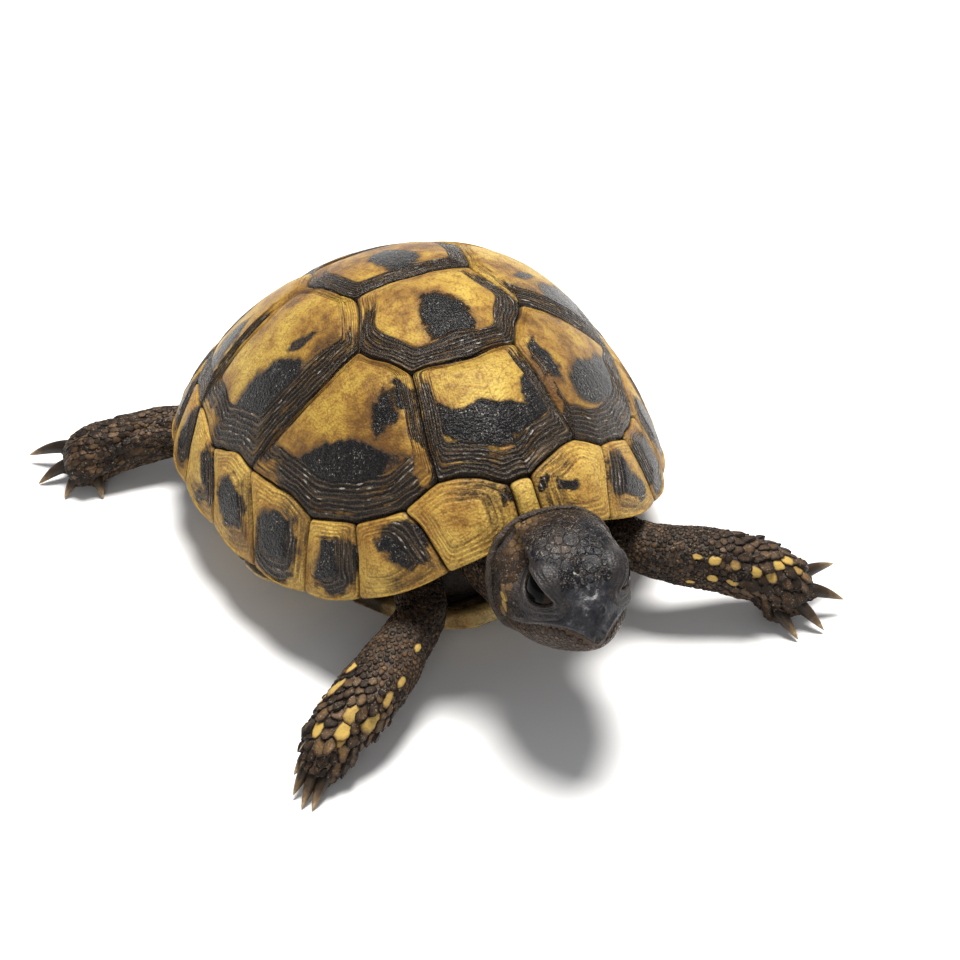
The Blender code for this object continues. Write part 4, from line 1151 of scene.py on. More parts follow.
def lid_mesh(side):
    """The lids of one eye, from the ball's surface over their edge and out to the head."""
    columns = 170
    around = round_angles(columns)
    edge = opening_radius(around)
    reach = np.maximum(math.radians(LID_REACH), edge + 0.42)
    tree, centre = head_tree(), Vector(EYE_PLACE)
    lower = smoothstep(0.25, -0.35, np.sin(around))
    rings, fold_values, lip_values = [], [], []
    out = np.concatenate([np.zeros(len(LID_LIP)), np.linspace(0.0, 1.0, 44)])
    for k, share in enumerate(out):
        polar = edge + (reach - edge) * share ** 1.1
        beyond_lip = k >= len(LID_LIP)
        base = EYE_RADIUS + (LID_THICKNESS if beyond_lip else LID_LIP[k])
        way = ball_ways(polar, around) @ EYE_AXES
        hits = [tree.ray_cast(centre, Vector(ray))[0] for ray in way]
        distance = np.array([(hit - centre).length if hit else base for hit in hits])
        distance = over_ball(np.minimum(distance, EYE_RADIUS + 1.0))
        arc = (polar - edge) * EYE_RADIUS
        skin_level = distance + 0.07 - 0.25 * smoothstep(0.35, 0.8, share)
        own_level = base - 0.10 * smoothstep(0.3, 0.8, share)
        over = smoothstep(0.04, 0.30, share) * beyond_lip
        blend = 0.5 + 0.5 * np.tanh((skin_level - own_level) / 0.14)
        level = own_level + (skin_level - own_level) * blend * over
        ripple = 0.5 - 0.5 * np.cos(2 * math.pi * arc / 0.36)
        fade = smoothstep(0.02, 0.15, share) * smoothstep(0.75, 0.45, share)
        level = level + fade * ripple * (0.012 + 0.085 * lower)
        level = level + 0.09 * hill((arc - 0.17, 0.13)) * beyond_lip
        rings.append(EYE_CENTRE + way * level[:, None])
        # painted shade in the valleys between the lids' folds
        fold_values.append(np.clip((1 - ripple) * fade, 0, 1))
        lip_values.append(np.full(columns, 1 - smoothstep(0.0, 0.10, share)))
    inside = [EYE_CENTRE + unit(ring - EYE_CENTRE) * (EYE_RADIUS - 0.3) for ring in (rings[-1], rings[0])]
    rings += inside
    fold_values += [np.zeros(columns)] * 2
    lip_values += [np.ones(columns)] * 2
    first, last = np.arange(columns), (len(rings) - 1) * columns + np.arange(columns)
    closing = np.stack([last, np.roll(last, -1), np.roll(first, -1), first], -1)
    points = from_head((np.stack(rings) * (1, side, 1)).reshape(-1, 3))
    values = {"beak": np.full(len(points), 0.55), "fold": np.concatenate(fold_values),
              "lip": np.concatenate(lip_values)}
    return points, [grid_faces(len(rings), columns), closing], values


def eye_material():
    f = Finish("eye_dark", Roughness=0.05, IOR=1.38, Specular_IOR_Level=0.07)
    polar = f.value("polar")
    iris = f.ramp(f.noise(0.12, 3.0) + polar * 0.3,
                  (0.35, (0.006, 0.004, 0.004)), (0.7, (0.020, 0.013, 0.009)))
    colour = f.mix(f.step(0.26, 0.30, polar), (0.002, 0.002, 0.002), iris)
    ring = f.step(0.44, 0.47, polar) * f.step(0.56, 0.50, polar)
    colour = f.mix(ring * 0.5, colour, (0.03, 0.02, 0.012))
    colour = f.mix(f.step(0.62, 0.75, polar), colour, (0.012, 0.008, 0.006))
    return f.finish(colour)


def build_eyes():
    material = eye_material()
    polar = np.linspace(0, math.pi, 60)[1:-1]
    columns = 96
    way = ball_ways(polar[:, None], round_angles(columns))
    for name, side in (("eye_left", 1), ("eye_right", -1)):
        points, faces, _ = loft((EYE_CENTRE + way @ EYE_AXES * (EYE_RADIUS - 0.01)) * (1, side, 1))
        values = {"polar": np.append(np.repeat(polar, columns) / math.pi, [0.0, 1.0])}
        settle(make_mesh(f"{name}_ball", from_head(points), faces, material, values), "eye", name)


# ---------------------------------------------------------------- claws

def claw_material():
    f = Finish("claw_horn", IOR=1.5, Specular_IOR_Level=0.25)
    along = f.value("along")
    colour = f.ramp(along + (f.noise(0.35) - 0.5) * 0.3,
                    (0.30, (0.012, 0.008, 0.006)), (0.62, (0.040, 0.026, 0.015)),
                    (0.84, (0.19, 0.125, 0.065)), (1.0, (0.50, 0.36, 0.20)))
    streak = f.noise(0.10, 3.0, f.combine(f.value("around"), along * 0.25))
    colour = f.mix(f.step(0.48, 0.62, streak) * 0.60, colour, (0.035, 0.022, 0.014))
    return f.finish(colour, streak * 0.2 + 0.25, [(streak, 0.03)])


def claw_shape(base, tip):
    """A claw that bows upward and thins to its tip; it starts inside the toe."""
    base, tip = np.array(base, float), np.array(tip, float)
    ahead = unit(tip - base)
    side, above = cross_axes(ahead)
    rows, columns = 22, 20
    t = np.linspace(0, 1, rows)[:, None]
    start = base - ahead * 0.9
    centre = start + (tip - start) * t + above * 0.34 * np.sin(math.pi * t ** 0.9)
    radius = 0.72 * (1 - t ** 1.8) ** 0.85 + 0.03
    angle = round_angles(columns)
    ring = side * np.cos(angle)[:, None] * 0.92 + above * np.sin(angle)[:, None]
    rings = centre[:, None] + ring * radius[:, None]
    rings[..., 2] = np.maximum(rings[..., 2], FLOOR_GAP)
    points, faces, _ = loft(rings)
    values = {"along": np.append(np.repeat(t[:, 0], columns), [0.0, 1.0]),
              "around": np.append(np.tile(angle / 2, rows), [0.0, 0.0])}
    return points, faces, values


def build_claws():
    material = claw_material()
    for name, limb in LIMBS.items():
        points, faces, values = join([claw_shape(base, tip) for base, tip in limb["claws"]])
        settle(make_mesh(f"claws_{name}", points, faces, material, values), "skin")


# ---------------------------------------------------------------- skin

def skin_material():
    """Bare skin between the scales, with the head's regions."""
    f = Finish("skin", IOR=1.45, Specular_IOR_Level=0.33)
    broad, fine = f.noise(1.5, 3.0), f.noise(0.22, 4.0, rough=0.6)
    flakes = f.noise(0.55, 4.0, rough=0.7)
    on_beak = f.value("beak")
    base = f.ramp(broad * 0.6 + fine * 0.5, (0.30, (0.010, 0.008, 0.007)),
                  (0.55, (0.026, 0.020, 0.017)), (0.85, (0.080, 0.058, 0.042)))
    # the warm value mixes in a lighter warm brown: a little of it is the skin's own tone, and the extra on
    # the right side is painted light
    leg = f.mix(f.value("warm"), base, f.mix(0.6, base, (0.17, 0.11, 0.06)))
    beak = f.ramp(broad * 0.4 + flakes * 0.7, (0.35, (0.006, 0.006, 0.008)),
                  (0.58, (0.020, 0.020, 0.024)), (0.76, (0.085, 0.080, 0.080)))
    jaw = f.ramp(broad * 0.5 + fine * 0.6, (0.3, (0.030, 0.018, 0.011)),
                 (0.6, (0.085, 0.050, 0.028)), (0.85, (0.18, 0.115, 0.058)))
    colour = f.mix(on_beak, leg, beak)
    colour = f.mix(f.value("jaw") * 0.8, colour, jaw)
    # painted shade: the slit of the mouth, the valleys of the lids' folds and the skin under the shell are
    # darkened
    folds = f.math('ADD', f.value("fold"), f.value("mouth"), clamp=True)
    colour = f.mix(folds * 0.75, colour, (0.012, 0.009, 0.008))
    colour = f.mix(f.value("lip") * 0.22, colour, (0.14, 0.105, 0.08))
    # painted shade inside the nostrils
    colour = f.mix(f.value("nostril") * 0.95, colour, (0.004, 0.003, 0.003))
    # painted highlight: a whitish streak along the crease of the snout
    snout_highlight = f.value("snout_highlight") * f.step(0.42, 0.56, flakes)
    colour = f.mix(snout_highlight * 0.75, colour, (0.50, 0.47, 0.43))
    roughness = fine * 0.3 + 0.42 - on_beak * 0.29
    grains = f.cells(0.20) * (1.0 - on_beak)
    return f.finish(colour, roughness, [(grains, 0.10), (fine, 0.04), (flakes, 0.07)])


SKIN_KEYS = ("mouth", "nostril", "beak", "jaw", "socket", "fold", "lip", "warm", "snout_highlight")


def body_skin():
    """Trunk, neck, limbs, toes and tail as one skin."""
    parts = [loft(trunk_rings()), loft(neck_rings()), loft(tube_rings(TAIL))]
    for limb in LIMBS.values():
        parts.append(loft(tube_rings(limb["stations"])))
        parts += [toe(base, tip) for base, tip in limb["claws"]]
    points, faces, normals = fused(parts)
    points = keep_under_shell(points)
    points += normals * folds_of(points)[:, None]
    points[:, 2] = np.maximum(points[:, 2], FLOOR_GAP)
    return points, faces, {}


def turn_about(way, out):
    """Angle round each way at which the vectors out stand."""
    side, above = cross_axes(way)
    return np.arctan2(np.sum(out * above, 1), np.sum(out * side, 1))


def folds_of(points):
    """Wrinkles of loose skin: round the neck and across the limbs."""
    ridged = 1 - np.abs(2 * noise(points * (0.35, 1.0, 0.6), 1.1, 31) - 1)
    line = nearest_line(points)
    part, share, way = line[:, 7], line[:, 6], line[:, 3:6]
    out = points - line[:, :3]
    turn = turn_about(way, out)
    hind = (part >= FIRST_HIND) * smoothstep(0.02, 0.25, share) * smoothstep(0.92, 0.75, share)
    lengthwise = np.cos(5 * turn + 3.0 * noise(points, 2.6, 33) + 2.0 * share)
    return (0.16 * (ridged - 0.55) + 0.05 * (noise(points, 0.5, 32) - 0.5)
            + 0.40 * hind * (np.abs(lengthwise) ** 0.7 - 0.8))


def build_skin():
    """Make the skin; returns the points, faces and normals that scales may stand on."""
    parts = [body_skin(), head_mesh(), lid_mesh(1), lid_mesh(-1)]
    filled = []
    for points, faces, values in parts:
        whole = {key: values.get(key, np.zeros(len(points))) for key in SKIN_KEYS}
        filled.append((points, faces, whole))
    points, faces, values = join(filled)
    body = np.arange(len(points)) < len(parts[0][0])
    # 0.2 everywhere is the skin's own warmth; the extra towards the right side is painted light on the lit
    # limbs
    values["warm"] = (smoothstep(-10, -22, points[:, 0]) * 0.7 + 0.2) * body
    plan = np.hypot(points[:, 0] / (SHELL_WIDTH / 2), points[:, 1] / (SHELL_LENGTH / 2))
    # painted shade on the skin under the shell
    values["fold"] = np.maximum(values["fold"], 0.8 * body * smoothstep(0.86, 0.72, plan))
    skin = make_mesh("skin", points, faces, skin_material(), values)
    nodes = ["trunk", "neck", "head", "lower_jaw", "tail"]
    nodes += [f"{part}_{name}" for name in LIMBS for part in ("leg", "foot")]
    settle(skin, "skin", *nodes)
    points, faces, normals = read_mesh(skin.data)
    covered = len(parts[0][0]) + len(parts[1][0])          # the lids come after these and stay bare
    faces = [block[(block < covered).all(1)] for block in faces]
    return points / MM - SHIFT, faces, normals


build_eyes()
build_claws()

# ---------------------------------------------------------------- scales

PARTS = ["head", "neck", "tail"] + list(LIMBS)             # each has its own column of the bake map
HEAD, NECK_PART, TAIL_PART, FIRST_LIMB = range(4)          # where these stand in PARTS
FIRST_HIND = PARTS.index("hind_right")
HEAD_SCALE_HEIGHT = 0.030
BAKE_PATCH = 0.003             # width of one scale on the bake map
SCALE_LIMIT = 190000           # triangles in one joined piece
PLACES_TRIED = 110000
SPACING = 0.43                 # least distance between two scales, as a share of their widths together
LARGE = 0.50                   # scales wider than this are modelled finely


def centre_lines():
    """Points along the middle of every soft part: place, way towards its tip, share and part."""
    rows = []
    stations = {"neck": NECK, "tail": TAIL, **{name: limb["stations"] for name, limb in LIMBS.items()}}
    lines = {name: spline([centre for centre, _, _ in places], 12) for name, places in stations.items()}
    lines["head"] = from_head(np.linspace(-5, 7, 40)[:, None] * (1, 0, 0))
    for name, line in lines.items():
        part = np.full(len(line), PARTS.index(name))
        ways = unit(np.gradient(line, axis=0))
        rows.append(np.column_stack([line, ways, np.linspace(0, 1, len(line)), part]))
    return np.concatenate(rows)


def nearest_line(places):
    """The row of LINES nearest to each place, worked out for a few thousand places at a time."""
    best = []
    for start in range(0, len(places), 4000):
        gap = ((places[start:start + 4000, None] - LINES[None, :, :3]) ** 2).sum(-1)
        best.append(gap.argmin(1))
    return LINES[np.concatenate(best)]


def scale_plan(places):
    """Size, tilt and colour of the scale that would stand at each place."""
    line = nearest_line(places)
    part, share, from_line = line[:, 7].astype(int), line[:, 6], unit(places - line[:, :3])
    limb = part >= FIRST_LIMB
    hind = part >= FIRST_HIND
    outside = np.clip(0.5 + 0.5 * from_line[:, 2] - 0.4 * from_line[:, 1], 0, 1)
    forearm = smoothstep(0.42, 0.60, share) * limb
    toes = smoothstep(0.86, 1.0, share) * limb
    under = smoothstep(0.0, -0.7, from_line[:, 2]) * limb
    width = 0.35 + forearm * (0.10 + 0.40 * outside) * np.where(hind, 0.35, 1.0)
    width = width * (0.72 + 0.60 * noise(places, 0.9, 50))
    width = (width * (1 - toes) + 0.55 * toes) * (1 - 0.35 * under)
    width = np.select([part == TAIL_PART, part == NECK_PART], [0.62, 0.36], width)
    tilt = forearm * (0.7 + 0.8 * outside) * np.where(hind, 0.4, 1.0) + 0.30
    hue = 0.30 + (0.05 * forearm + 0.26 * (noise(places, 1.6, 51) - 0.5) - 0.07 * hind)
    # painted shade: the front left limb's scales are a little darker
    hue = hue - 0.05 * (part == PARTS.index("front_left"))
    head = part == HEAD
    head_width, head_hue, head_blue, head_crack = head_plan(places)
    return {"part": part, "share": share, "way": line[:, 3:6], "around": from_line,
            "width": np.where(head, head_width, width),
            "height": np.where(head, HEAD_SCALE_HEIGHT, (0.050 + 0.10 * width) * np.where(hind, 0.7, 1.0)),
            "tilt": np.select([head, part == TAIL_PART], [0, 0.7], tilt),
            "snug": np.where(head, 0.985, 0.935),
            "hue": np.where(head, head_hue, hue),
            "blue": np.where(head, head_blue, 0.0),
            "long": np.where(hind, 1.0 + 0.6 * smoothstep(0.1, 0.3, share), 1.0),
            "gloss": np.where(head, 1.0, 0.0),
            "crack": np.where(head, head_crack, 1.0)}


def head_plan(places):
    """Width, hue, blueness and darkness of the edge of the scales of the head."""
    forward, left, up = to_head(places).T
    side = np.abs(left)
    crown = smoothstep(1.0, 3.0, up)
    middle = hill((left, 3.2), (forward - 1.5, 2.6)) * crown
    width = 0.46 + 0.32 * middle + 0.30 * hill((forward + 0.6, 1.2), (side - 5, 1.2))
    width = np.where(up < -1.8, 0.31, width) * (0.85 + 0.3 * noise(places, 1.1, 53))
    olive = hill((forward + 1.5, 1.5), (left + 2.8, 1.9)) * crown
    ochre = hill((forward - 3.0, 0.9), (left + 0.9, 0.8)) * crown
    temple = hill((forward + 0.3 - 0.5 * up, 0.75), (side - 5.1, 1.2), (up - 0.1, 1.6))
    mouth_up = np.interp(forward, [place[0] for place in MOUTH], [place[2] for place in MOUTH])
    chin = smoothstep(0.0, 0.35, mouth_up - up)
    hue = 0.06 + 0.22 * (noise(places, 1.7, 52) - 0.5) + 0.10 * smoothstep(0.5, -1.5, up)
    hue += 0.56 * olive + 0.84 * temple + 0.22 * chin + 0.03 * crown + 0.30 * ochre
    tinted = np.clip(0.8 * olive + temple + 0.55 * chin + 0.8 * ochre, 0, 1)
    blue = smoothstep(1.5, 3.4, forward) + 0.8 * hill((forward - 1.8, 1.6), (left - 2.2, 1.4))
    blue = np.clip(0.26 + blue, 0, 1) * (1 - tinted)
    return width, hue, blue, np.where(up < -1.2, 0.8, 0.45)


def bare(places):
    """Places that carry no scales: under the shell, the beak, the mouth, eyes and lids, and the soles."""
    local = to_head(places)
    forward, left, up = local.T
    near_head = np.linalg.norm(local - HEAD_MIDDLE, axis=1) < 8.5
    _, values = head_features(local)
    way, polar, edge = from_nearer_eye(local)
    at_eye = (polar < edge + 0.42) & (np.linalg.norm(way, axis=1) < 3.4)
    smooth = (values["beak"] > 0.35) | (values["mouth"] > 0.3) | (values["nostril"] > 0.2) | at_eye
    hood = near_head & (np.abs(forward + 3.1) < 0.95) & (np.hypot(left, up - 0.4) > 5.05)
    plan = np.hypot(places[:, 0] / (0.70 * SHELL_WIDTH / 2), places[:, 1] / (0.70 * SHELL_LENGTH / 2))
    return (near_head & smooth) | hood | (plan < 1) | (places[:, 2] < 0.12)


def spread(points, triangles, normals, count, random):
    """Random places over a skin, with their normals."""
    a, b, c = (points[triangles[:, k]] for k in range(3))
    area = np.linalg.norm(np.cross(b - a, c - a), axis=1)
    pick = random.choice(len(triangles), count, p=area / area.sum())
    u, v = random.random(count), random.random(count)
    flip = u + v > 1
    u, v = np.where(flip, 1 - u, u)[:, None], np.where(flip, 1 - v, v)[:, None]
    places = a[pick] * (1 - u - v) + b[pick] * u + c[pick] * v
    ways = [normals[triangles[pick, k]] for k in range(3)]
    return places, unit(ways[0] * (1 - u - v) + ways[1] * u + ways[2] * v)


def thinned(places, width):
    """Indexes of places kept, in their order, so that no two stand closer than their widths allow."""
    box = float(width.max())
    kept, boxes = [], {}
    steps = list(itertools.product((-1, 0, 1), repeat=3))
    rows, widths = places.tolist(), width.tolist()
    for n, key in enumerate(np.floor(places / box).astype(int).tolist()):
        around = (boxes.get((key[0] + i, key[1] + j, key[2] + k), ()) for i, j, k in steps)
        if all(math.dist(rows[n], rows[m]) >= (widths[n] + widths[m]) * SPACING
               for near in around for m in near):
            kept.append(n)
            boxes.setdefault(tuple(key), []).append(n)
    return np.array(kept)


def cell_reach(places, normals, plan, sides, everyone, many, random):
    """Ways out of each scale, and how far it reaches along them before it meets a neighbour."""
    all_places, all_widths = everyone
    tree = kd_tree(all_places)
    near = np.array([[item[1] for item in tree.find_n(place, many)] for place in places])[:, 1:]
    on_head = plan["part"] == HEAD
    along = unit(plan["way"] - normals * np.sum(plan["way"] * normals, 1, keepdims=True))
    across = np.cross(normals, along)
    most = np.where(on_head, 0.0, 0.9) * (plan["long"] < 1.01)
    swing = ((random.random(len(places)) - 0.5) * most)[:, None]
    along, across = (along * np.cos(swing) + across * np.sin(swing),
                     across * np.cos(swing) - along * np.sin(swing))
    angle = round_angles(sides)
    rays = along[:, None] * np.cos(angle)[:, None] + across[:, None] * np.sin(angle)[:, None]
    to_near = all_places[near] - places[:, None]
    far = (to_near ** 2).sum(-1)
    lean = np.einsum('skx,smx->skm', rays, to_near)
    width = plan["width"][:, None]
    share = width / (width + all_widths[near])
    reach = np.where(lean > 1e-6, (far * share)[:, None] / np.maximum(lean, 1e-6), 9.0).min(2)
    reach = np.minimum(reach, width * 0.95)
    round_off = np.where(on_head, 0.18, 0.6)[:, None]
    for _ in range(2):
        reach = reach + (eased(reach, 1) - reach) * round_off
    torn = np.where(on_head, 0.08, 0.20)[:, None] * (random.random(reach.shape) - 0.5)
    return rays, angle, reach * (1 + torn)


def scale_meshes(places, normals, plan, sides, rows, surface, everyone, many, random):
    """Domed scales that fill their cells, tilted up towards the tip where they overlap.

    rows are the rings of a scale from its foot inwards: a share of its reach and a level.
    """
    count = len(places)
    rays, angle, reach = cell_reach(places, normals, plan, sides, everyone, many, random)
    toward = np.maximum(np.cos(angle), 0)
    reach = reach * plan["snug"][:, None] - 0.010
    tilt = (plan["tilt"] * (0.5 + 1.3 * random.random(count) ** 2))[:, None]
    reach = reach * (1 + tilt * (0.50 * toward ** 4 - 0.04))
    reach = reach * (1 + (plan["long"][:, None] - 1) * np.cos(angle) ** 2)
    lift = tilt * plan["width"][:, None] * 0.27 * (0.05 + toward)
    rings = []
    for share, level in rows:
        flat = places[:, None] + rays * (reach * share)[..., None]
        if surface is not None:
            flat = laid(flat, normals, surface)
        rise = plan["height"][:, None] * level + (lift * share if level > 0 else -0.10)
        rings.append(flat + normals[:, None] * rise[..., None])
    centre = places + normals * plan["height"][:, None] * 1.04
    points = np.concatenate([np.stack(rings, 1).reshape(count, -1, 3), centre[:, None]], 1)
    size = points.shape[1]
    start = np.arange(count)[:, None, None] * size
    fan = fan_faces((len(rows) - 1) * sides, sides, size - 1)
    faces = [(grid_faces(len(rows), sides) + start).reshape(-1, 4), (fan + start).reshape(-1, 3)]
    shares = np.append(np.repeat([share for share, _ in rows], sides), 0.0)
    turns = np.append(np.tile(angle, len(rows)), 0.0)
    patch = BAKE_PATCH / 2 * shares * np.stack([np.cos(turns), np.sin(turns)])
    bake = bake_place(plan)[:, None] + patch.T
    values = {key: np.repeat(plan[key], size) for key in ("hue", "blue", "gloss")}
    values["pick"] = np.repeat(random.random(count), size)
    values["edge"] = (shares ** 2 * plan["crack"][:, None]).ravel()
    return points.reshape(-1, 3), faces, values, bake.reshape(-1, 2)


def laid(points, normals, surface):
    """Points moved along their scale's normal onto the skin, apart from those it rises well above."""
    flat = points.reshape(-1, 3)
    ways = np.repeat(normals, points.shape[1], 0)
    out = flat.copy()
    for k, (place, way) in enumerate(zip(flat, ways)):
        hit, _, _, distance = surface.ray_cast(Vector(place + way * 0.5), Vector(-way), 1.3)
        if hit is None:
            out[k] = surface.find_nearest(Vector(place))[0]
        elif distance > 0.2:
            out[k] = hit
    return out.reshape(points.shape)


def bake_place(plan):
    """Where a scale's root lies on the unwrapped skin: a column for each part, along and round it."""
    turn = turn_about(plan["way"], plan["around"])
    column = (plan["part"] + 0.03 + 0.94 * (turn / (2 * math.pi) + 0.5)) / len(PARTS)
    return np.stack([column, 0.02 + 0.96 * plan["share"]], -1)


def scale_material():
    """Scales from dark through olive to yellow by their hue, slate where they are blue."""
    f = Finish("scales", IOR=1.48, Specular_IOR_Level=0.19)
    hue, pick, gloss, edge = (f.value(key) for key in ("hue", "pick", "gloss", "edge"))
    fine = f.noise(0.14, 3.0, rough=0.6)
    mottle = f.noise(0.7, 4.0, rough=0.65)
    crisp = f.step(0.55, 0.75, hue) * 2.5 + 1.5
    faded = 1.0 - edge ** crisp * 0.62
    own = (pick - 0.5) * (0.36 - gloss * 0.26)
    varied = hue * faded + own + (fine - 0.5) * 0.25 + (mottle - 0.5) * 0.30
    colour = f.ramp(varied, (0.0, (0.006, 0.0035, 0.002)), (0.22, (0.028, 0.0155, 0.008)),
                    (0.42, (0.085, 0.047, 0.021)), (0.66, (0.19, 0.110, 0.036)), (0.95, (0.47, 0.31, 0.075)))
    slate = f.ramp(varied, (0.0, (0.005, 0.005, 0.007)), (0.3, (0.012, 0.0125, 0.015)),
                   (0.62, (0.052, 0.049, 0.049)), (0.9, (0.15, 0.135, 0.12)))
    colour = f.mix(f.value("blue"), colour, slate)
    # painted glints: pale specks on the scales that stand in for light caught by their grains
    painted_glints = f.step(0.57, 0.66, f.noise(0.17, 2.0, rough=0.8)) * f.step(0.42, 0.60, mottle)
    colour = f.mix(painted_glints * 0.62, colour, (0.36, 0.30, 0.22))
    colour = f.mix(edge ** 3.0 * 0.6, colour, (0.008, 0.005, 0.004))
    roughness = fine * 0.3 + 0.42 - gloss * 0.24 - f.step(0.72, 0.9, pick) * 0.20
    return f.finish(colour, roughness, [(fine, 0.05), (mottle, 0.12)])


CROWN_SHIELDS = [  # forward, left and width of the large plates on top of the head
    (4.55, 0.95, 1.5), (4.55, -0.95, 1.5), (2.6, 0.1, 1.35), (1.5, -0.7, 1.2), (1.9, 2.35, 1.3),
    (1.9, -2.35, 1.3), (0.1, 1.05, 1.1), (0.0, -1.2, 1.0)]
YELLOW_SHIELDS = [  # place, width and stretch of the large yellow scales on the front limbs
    ((14.6, -27.0, 8.2), 0.62, 1.3), ((15.9, -27.8, 7.8), 0.70, 1.3), ((17.6, -28.7, 7.2), 0.85, 1.15),
    ((19.1, -29.4, 6.5), 0.85, 1.1), ((20.4, -30.0, 5.8), 0.90, 1.0), ((22.4, -29.0, 6.3), 0.75, 1.3),
    ((15.6, -28.2, 6.4), 0.60, 1.5), ((13.9, -27.3, 5.9), 0.55, 1.5), ((23.3, -29.8, 5.3), 0.70, 1.2),
    ((21.5, -29.4, 6.2), 0.70, 1.2), ((17.0, -28.9, 5.9), 0.60, 1.4),
    ((-18.7, -26.0, 6.6), 1.00, 1.6), ((-18.6, -29.1, 6.1), 0.95, 1.6), ((-15.5, -29.0, 6.0), 0.80, 1.7),
    ((-17.2, -29.8, 5.2), 0.85, 1.7), ((-13.8, -28.0, 6.5), 0.62, 1.8), ((-21.7, -28.7, 5.1), 0.80, 1.6),
    ((-19.7, -29.9, 5.3), 0.90, 1.5), ((-17.0, -25.1, 7.2), 0.65, 1.7), ((-11.3, -25.7, 7.3), 0.50, 1.7),
    ((-20.2, -26.2, 5.5), 0.75, 1.6), ((-20.4, -30.3, 4.6), 0.60, 1.6)]


def scale_places(points, triangles, normals, surface, random):
    """Places, normals and plans of all scales; the large shields stand first and so are kept."""
    places, ways = spread(points, triangles, normals, PLACES_TRIED, random)
    open_skin = ~bare(places)
    down = Vector(-HEAD_AXES[:, 2])
    hits = [surface.find_nearest(Vector(place))[:2] for place, _, _ in YELLOW_SHIELDS]
    hits += [surface.ray_cast(Vector(from_head((forward, left, 12.0))), down)[:2]
             for forward, left, _ in CROWN_SHIELDS]
    places = np.concatenate([np.array([hit[0] for hit in hits]), places[open_skin]])
    ways = np.concatenate([np.array([hit[1] for hit in hits]), ways[open_skin]])
    plan = scale_plan(places)
    yellow, crown = slice(len(YELLOW_SHIELDS)), slice(len(YELLOW_SHIELDS), len(hits))
    plan["width"][yellow] = [width for _, width, _ in YELLOW_SHIELDS]
    plan["long"][yellow] = [stretch for _, _, stretch in YELLOW_SHIELDS]
    plan["hue"][yellow] = 0.76 + 0.26 * random.random(len(YELLOW_SHIELDS))
    plan["height"][yellow] = 0.13
    plan["tilt"][yellow] = 0.8
    plan["width"][crown] = [width for _, _, width in CROWN_SHIELDS]
    plan["height"][crown] = HEAD_SCALE_HEIGHT
    kept = thinned(places, plan["width"])
    return places[kept], ways[kept], {key: numbers[kept] for key, numbers in plan.items()}


def build_scales(points, faces, normals):
    """All scales of the animal, joined into a few whole-body pieces."""
    random = np.random.default_rng(11)
    triangles = np.concatenate([block if block.shape[1] == 3 else
                                np.concatenate([block[:, (0, 1, 2)], block[:, (0, 2, 3)]])
                                for block in faces])
    surface = BVHTree.FromPolygons(points.tolist(), triangles.tolist())
    places, ways, plan = scale_places(points, triangles, normals, surface, random)
    large = plan["width"] > LARGE
    # for each set: its scales, sides of a scale, rings, the skin it is laid on, neighbours looked at
    pieces = {"scales_large": (large, 14, [(1.0, -0.4), (1.0, 0.45), (0.88, 0.86), (0.5, 1.0)], surface, 26),
              "scales_small": (~large, 8, [(1.0, -0.4), (0.96, 0.40), (0.62, 0.88)], None, 13)}
    material = scale_material()
    for name, (chosen, sides, rows, ground, many) in pieces.items():
        index = np.flatnonzero(chosen)
        parts = math.ceil(len(index) * sides * (2 * (len(rows) - 1) + 1) / SCALE_LIMIT)
        own_plan = {key: numbers[index] for key, numbers in plan.items()}
        made = scale_meshes(places[index], ways[index], own_plan, sides, rows, ground,
                            (places, plan["width"]), many, random)
        for k in range(parts):
            save_scales(f"{name}_{k + 1}", made, len(index), k, parts, material)


def save_scales(name, made, count, turn, parts, material):
    """Every parts-th scale of a set as one joined piece."""
    points, faces, values, bake = made
    size = len(points) // count
    chosen = np.arange(turn, count, parts)
    rows = (chosen[:, None] * size + np.arange(size)).ravel()
    start = np.arange(len(chosen))[:, None, None] * size
    own_faces = []
    for block in faces:
        corners = block.shape[1]
        first_scale = block[:len(block) // count]
        own_faces.append((first_scale + start).reshape(-1, corners))
    own_values = {key: numbers[rows] for key, numbers in values.items()}
    obj = make_mesh(name, points[rows], own_faces, material, own_values, turn_out=False, bake=bake[rows])
    settle(obj, "skin")


LINES = centre_lines()
build_scales(*build_skin())


# ---------------------------------------------------------------- camera, floor and light

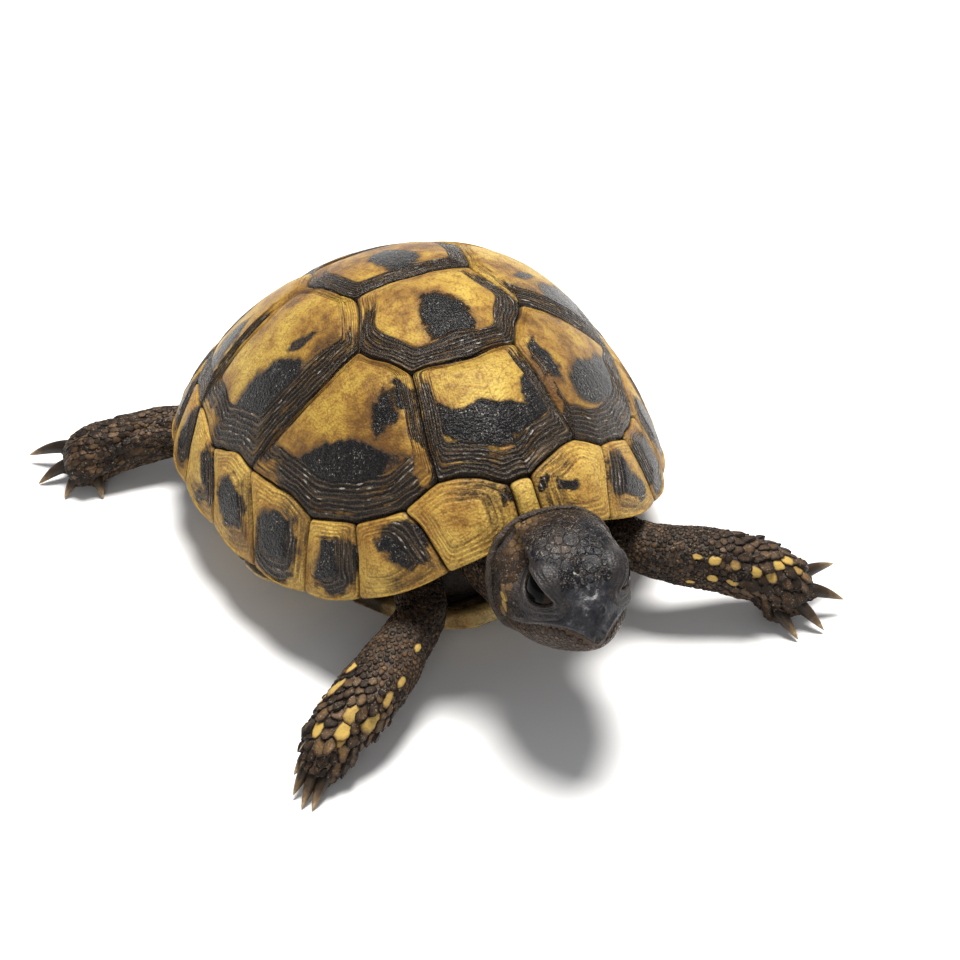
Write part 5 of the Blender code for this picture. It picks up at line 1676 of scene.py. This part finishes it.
CAMERA_PLACE = np.array((-50.19, -144.66, 122.87))
CAMERA_RIGHT = np.array((0.91465, -0.39994, -0.05859))
CAMERA_UP = np.array((0.28983, 0.54787, 0.78475))
CAMERA_BACK = np.array((-0.28176, -0.73477, 0.61704))
LENS, SENSOR = 75.04, 36.0     # millimetres


def build_camera():
    data = bpy.data.cameras.new("camera")
    data.lens, data.sensor_width = LENS, SENSOR
    data.clip_start, data.clip_end = 0.005, 10.0
    camera = add_object("camera", data)
    turn = Matrix([CAMERA_RIGHT, CAMERA_UP, CAMERA_BACK]).transposed().to_4x4()
    camera.matrix_world = Matrix.Translation(Vector((CAMERA_PLACE + SHIFT) * MM)) @ turn
    bpy.context.scene.camera = camera


def build_stage():
    f = Finish("floor_white", Roughness=0.6)
    paper = f.mix(f.noise(8.0, 3.0), (0.80, 0.80, 0.80), (0.83, 0.825, 0.82))
    mesh = bpy.data.meshes.new("floor")
    half = 1.2
    corners = [(-half, -half, 0), (half, -half, 0), (half, half, 0), (-half, half, 0)]
    mesh.from_pydata(corners, [], [(0, 1, 2, 3)])
    mesh.materials.append(f.finish(paper))
    floor = add_object("floor", mesh)


def area_light(name, direction, distance, size, power, colour):
    """A round light that shines on the middle from a direction, in metres and watts."""
    data = bpy.data.lights.new(name, 'AREA')
    data.shape, data.size, data.energy, data.color = 'DISK', size, power, colour
    light = add_object(name, data)
    way = Vector(direction).normalized()
    light.location = way * distance
    light.rotation_euler = way.to_track_quat('Z', 'Y').to_euler()


def build_lights():
    world = bpy.data.worlds.new("studio")
    world.use_nodes = True
    background = world.node_tree.nodes["Background"]
    background.inputs["Color"].default_value = (0.93, 0.96, 1.0, 1)
    background.inputs["Strength"].default_value = 0.31
    bpy.context.scene.world = world
    bpy.context.scene.view_settings.view_transform = 'Standard'
    area_light("key", (0.18, 0.16, 1.0), 0.7, 0.30, 9.8, (1.0, 0.98, 0.95))
    area_light("front_fill", (-0.5, -1.0, 0.7), 0.8, 0.3, 0.8, (1.0, 0.98, 0.96))


build_camera()
build_stage()
build_lights()
